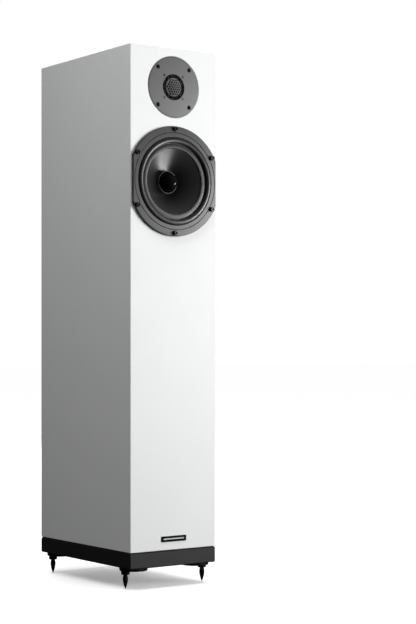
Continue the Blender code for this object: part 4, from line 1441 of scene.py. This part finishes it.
def softbox(name, place, aim, width, height, power, lean=0):
    """A rectangular light of so many watts that faces a point, turned about that line by an angle."""
    light = bpy.data.lights.new(name, "AREA")
    light.shape = "RECTANGLE"
    light.size = width
    light.size_y = height
    light.energy = power
    made = bpy.data.objects.new(name, light)
    made.location = place
    facing = (Vector(aim) - Vector(place)).to_track_quat("-Z", "Y")
    made.rotation_euler = (facing @ Quaternion((0, 0, 1), math.radians(lean))).to_euler()
    made.visible_camera = False
    bpy.context.scene.collection.objects.link(made)
    return made


def away_from(centre, azimuth, height, distance):
    """A point in metres, by its direction from a driver's centre: degrees right of front, and up."""
    turn = math.radians(azimuth)
    rise = math.radians(height)
    flat = math.cos(rise)
    direction = Vector((flat * math.sin(turn), -flat * math.cos(turn), math.sin(rise)))
    return centre * MM + direction * distance


def group_of(name, wanted):
    """A collection of the visible pieces whose names hold any of the wanted words."""
    group = bpy.data.collections.new(name)
    for piece in bpy.data.objects:
        if piece.type == "MESH" and any(word in piece.name for word in wanted):
            group.objects.link(piece)
    return group


def light_studio():
    """A soft sky for the floor, a large panel right of the front, and sheens for drivers and edges."""
    others = group_of("others", ("lacquered", "plinth", "badge", "disc", "nut", "turned_", "floor"))
    key = ((2.0, -2.4, 0.85), (0, -0.1, 0.45), 1.8, 1.8)
    softbox("key_right", *key, 97).visible_glossy = False
    key_sheen = softbox("key_sheen", *key, 88)
    key_sheen.visible_diffuse = False
    key_sheen.light_linking.receiver_collection = others
    cone_pieces = ("woofer_cone", "coil_collar", "phase_plug", "woofer_surround")
    flange_pieces = ("woofer_chassis", "trim_ring", "woofer_surround", "woofer_screw")
    plate_pieces = ("tweeter_faceplate", "plate_screw")
    sheens = (
        ("cone_sheen", cone_pieces, WOOFER, (62, -24, 1.2), (0.62, 0.28), 8.2, 38),
        ("flange_sheen", flange_pieces, WOOFER, (57, -6, 0.5), (0.22, 0.22), 4.6, 0),
        ("plate_sheen", plate_pieces, TWEETER, (53, -6, 0.5), (0.22, 0.22), 5.0, 0),
    )
    for name, pieces, centre, direction, panel, power, lean in sheens:
        sheen = softbox(name, away_from(centre, *direction), centre * MM, *panel, power, lean)
        sheen.visible_diffuse = False
        sheen.light_linking.receiver_collection = group_of(f"{name}_pieces", pieces)
    left_edge = softbox("left_edge", (-1.05, -0.5, 1.5), (-0.09, 0, 0.65), 0.4, 0.4, 7.2)
    left_edge.light_linking.receiver_collection = others
    softbox("back_light", (1.2, 3.4, 2.0), CABINET_MIDDLE * MM, 2.4, 2.4, 60)
    sky = bpy.data.lights.new("sky", "SUN")
    sky.energy = 2.45
    sky.angle = math.radians(60)
    overhead = bpy.data.objects.new("sky", sky)
    overhead.visible_glossy = False
    bpy.context.scene.collection.objects.link(overhead)
    world = bpy.data.worlds.new("studio")
    bpy.context.scene.world = world
    world.use_nodes = True
    tree = world.node_tree
    tree.nodes.clear()
    seen, dim = (tree.nodes.new("ShaderNodeBackground") for _ in range(2))
    for background, strength in ((seen, 1.0), (dim, 0.03)):
        background.inputs["Color"].default_value = (1, 1, 1, 1)
        background.inputs["Strength"].default_value = strength
    rays = tree.nodes.new("ShaderNodeLightPath")
    mix = tree.nodes.new("ShaderNodeMixShader")
    out = tree.nodes.new("ShaderNodeOutputWorld")
    tree.links.new(rays.outputs["Is Camera Ray"], mix.inputs[0])
    tree.links.new(dim.outputs[0], mix.inputs[1])
    tree.links.new(seen.outputs[0], mix.inputs[2])
    tree.links.new(mix.outputs[0], out.inputs["Surface"])
    bpy.context.scene.view_settings.view_transform = "Standard"


# ---------------------------------------------------------------- everything

place_camera()
stage_floor()
build_cabinet()
build_plinth()
build_badge()
build_tweeter()
build_woofer()
build_screws()
build_feet()
build_back()
finish_inside()
light_studio()
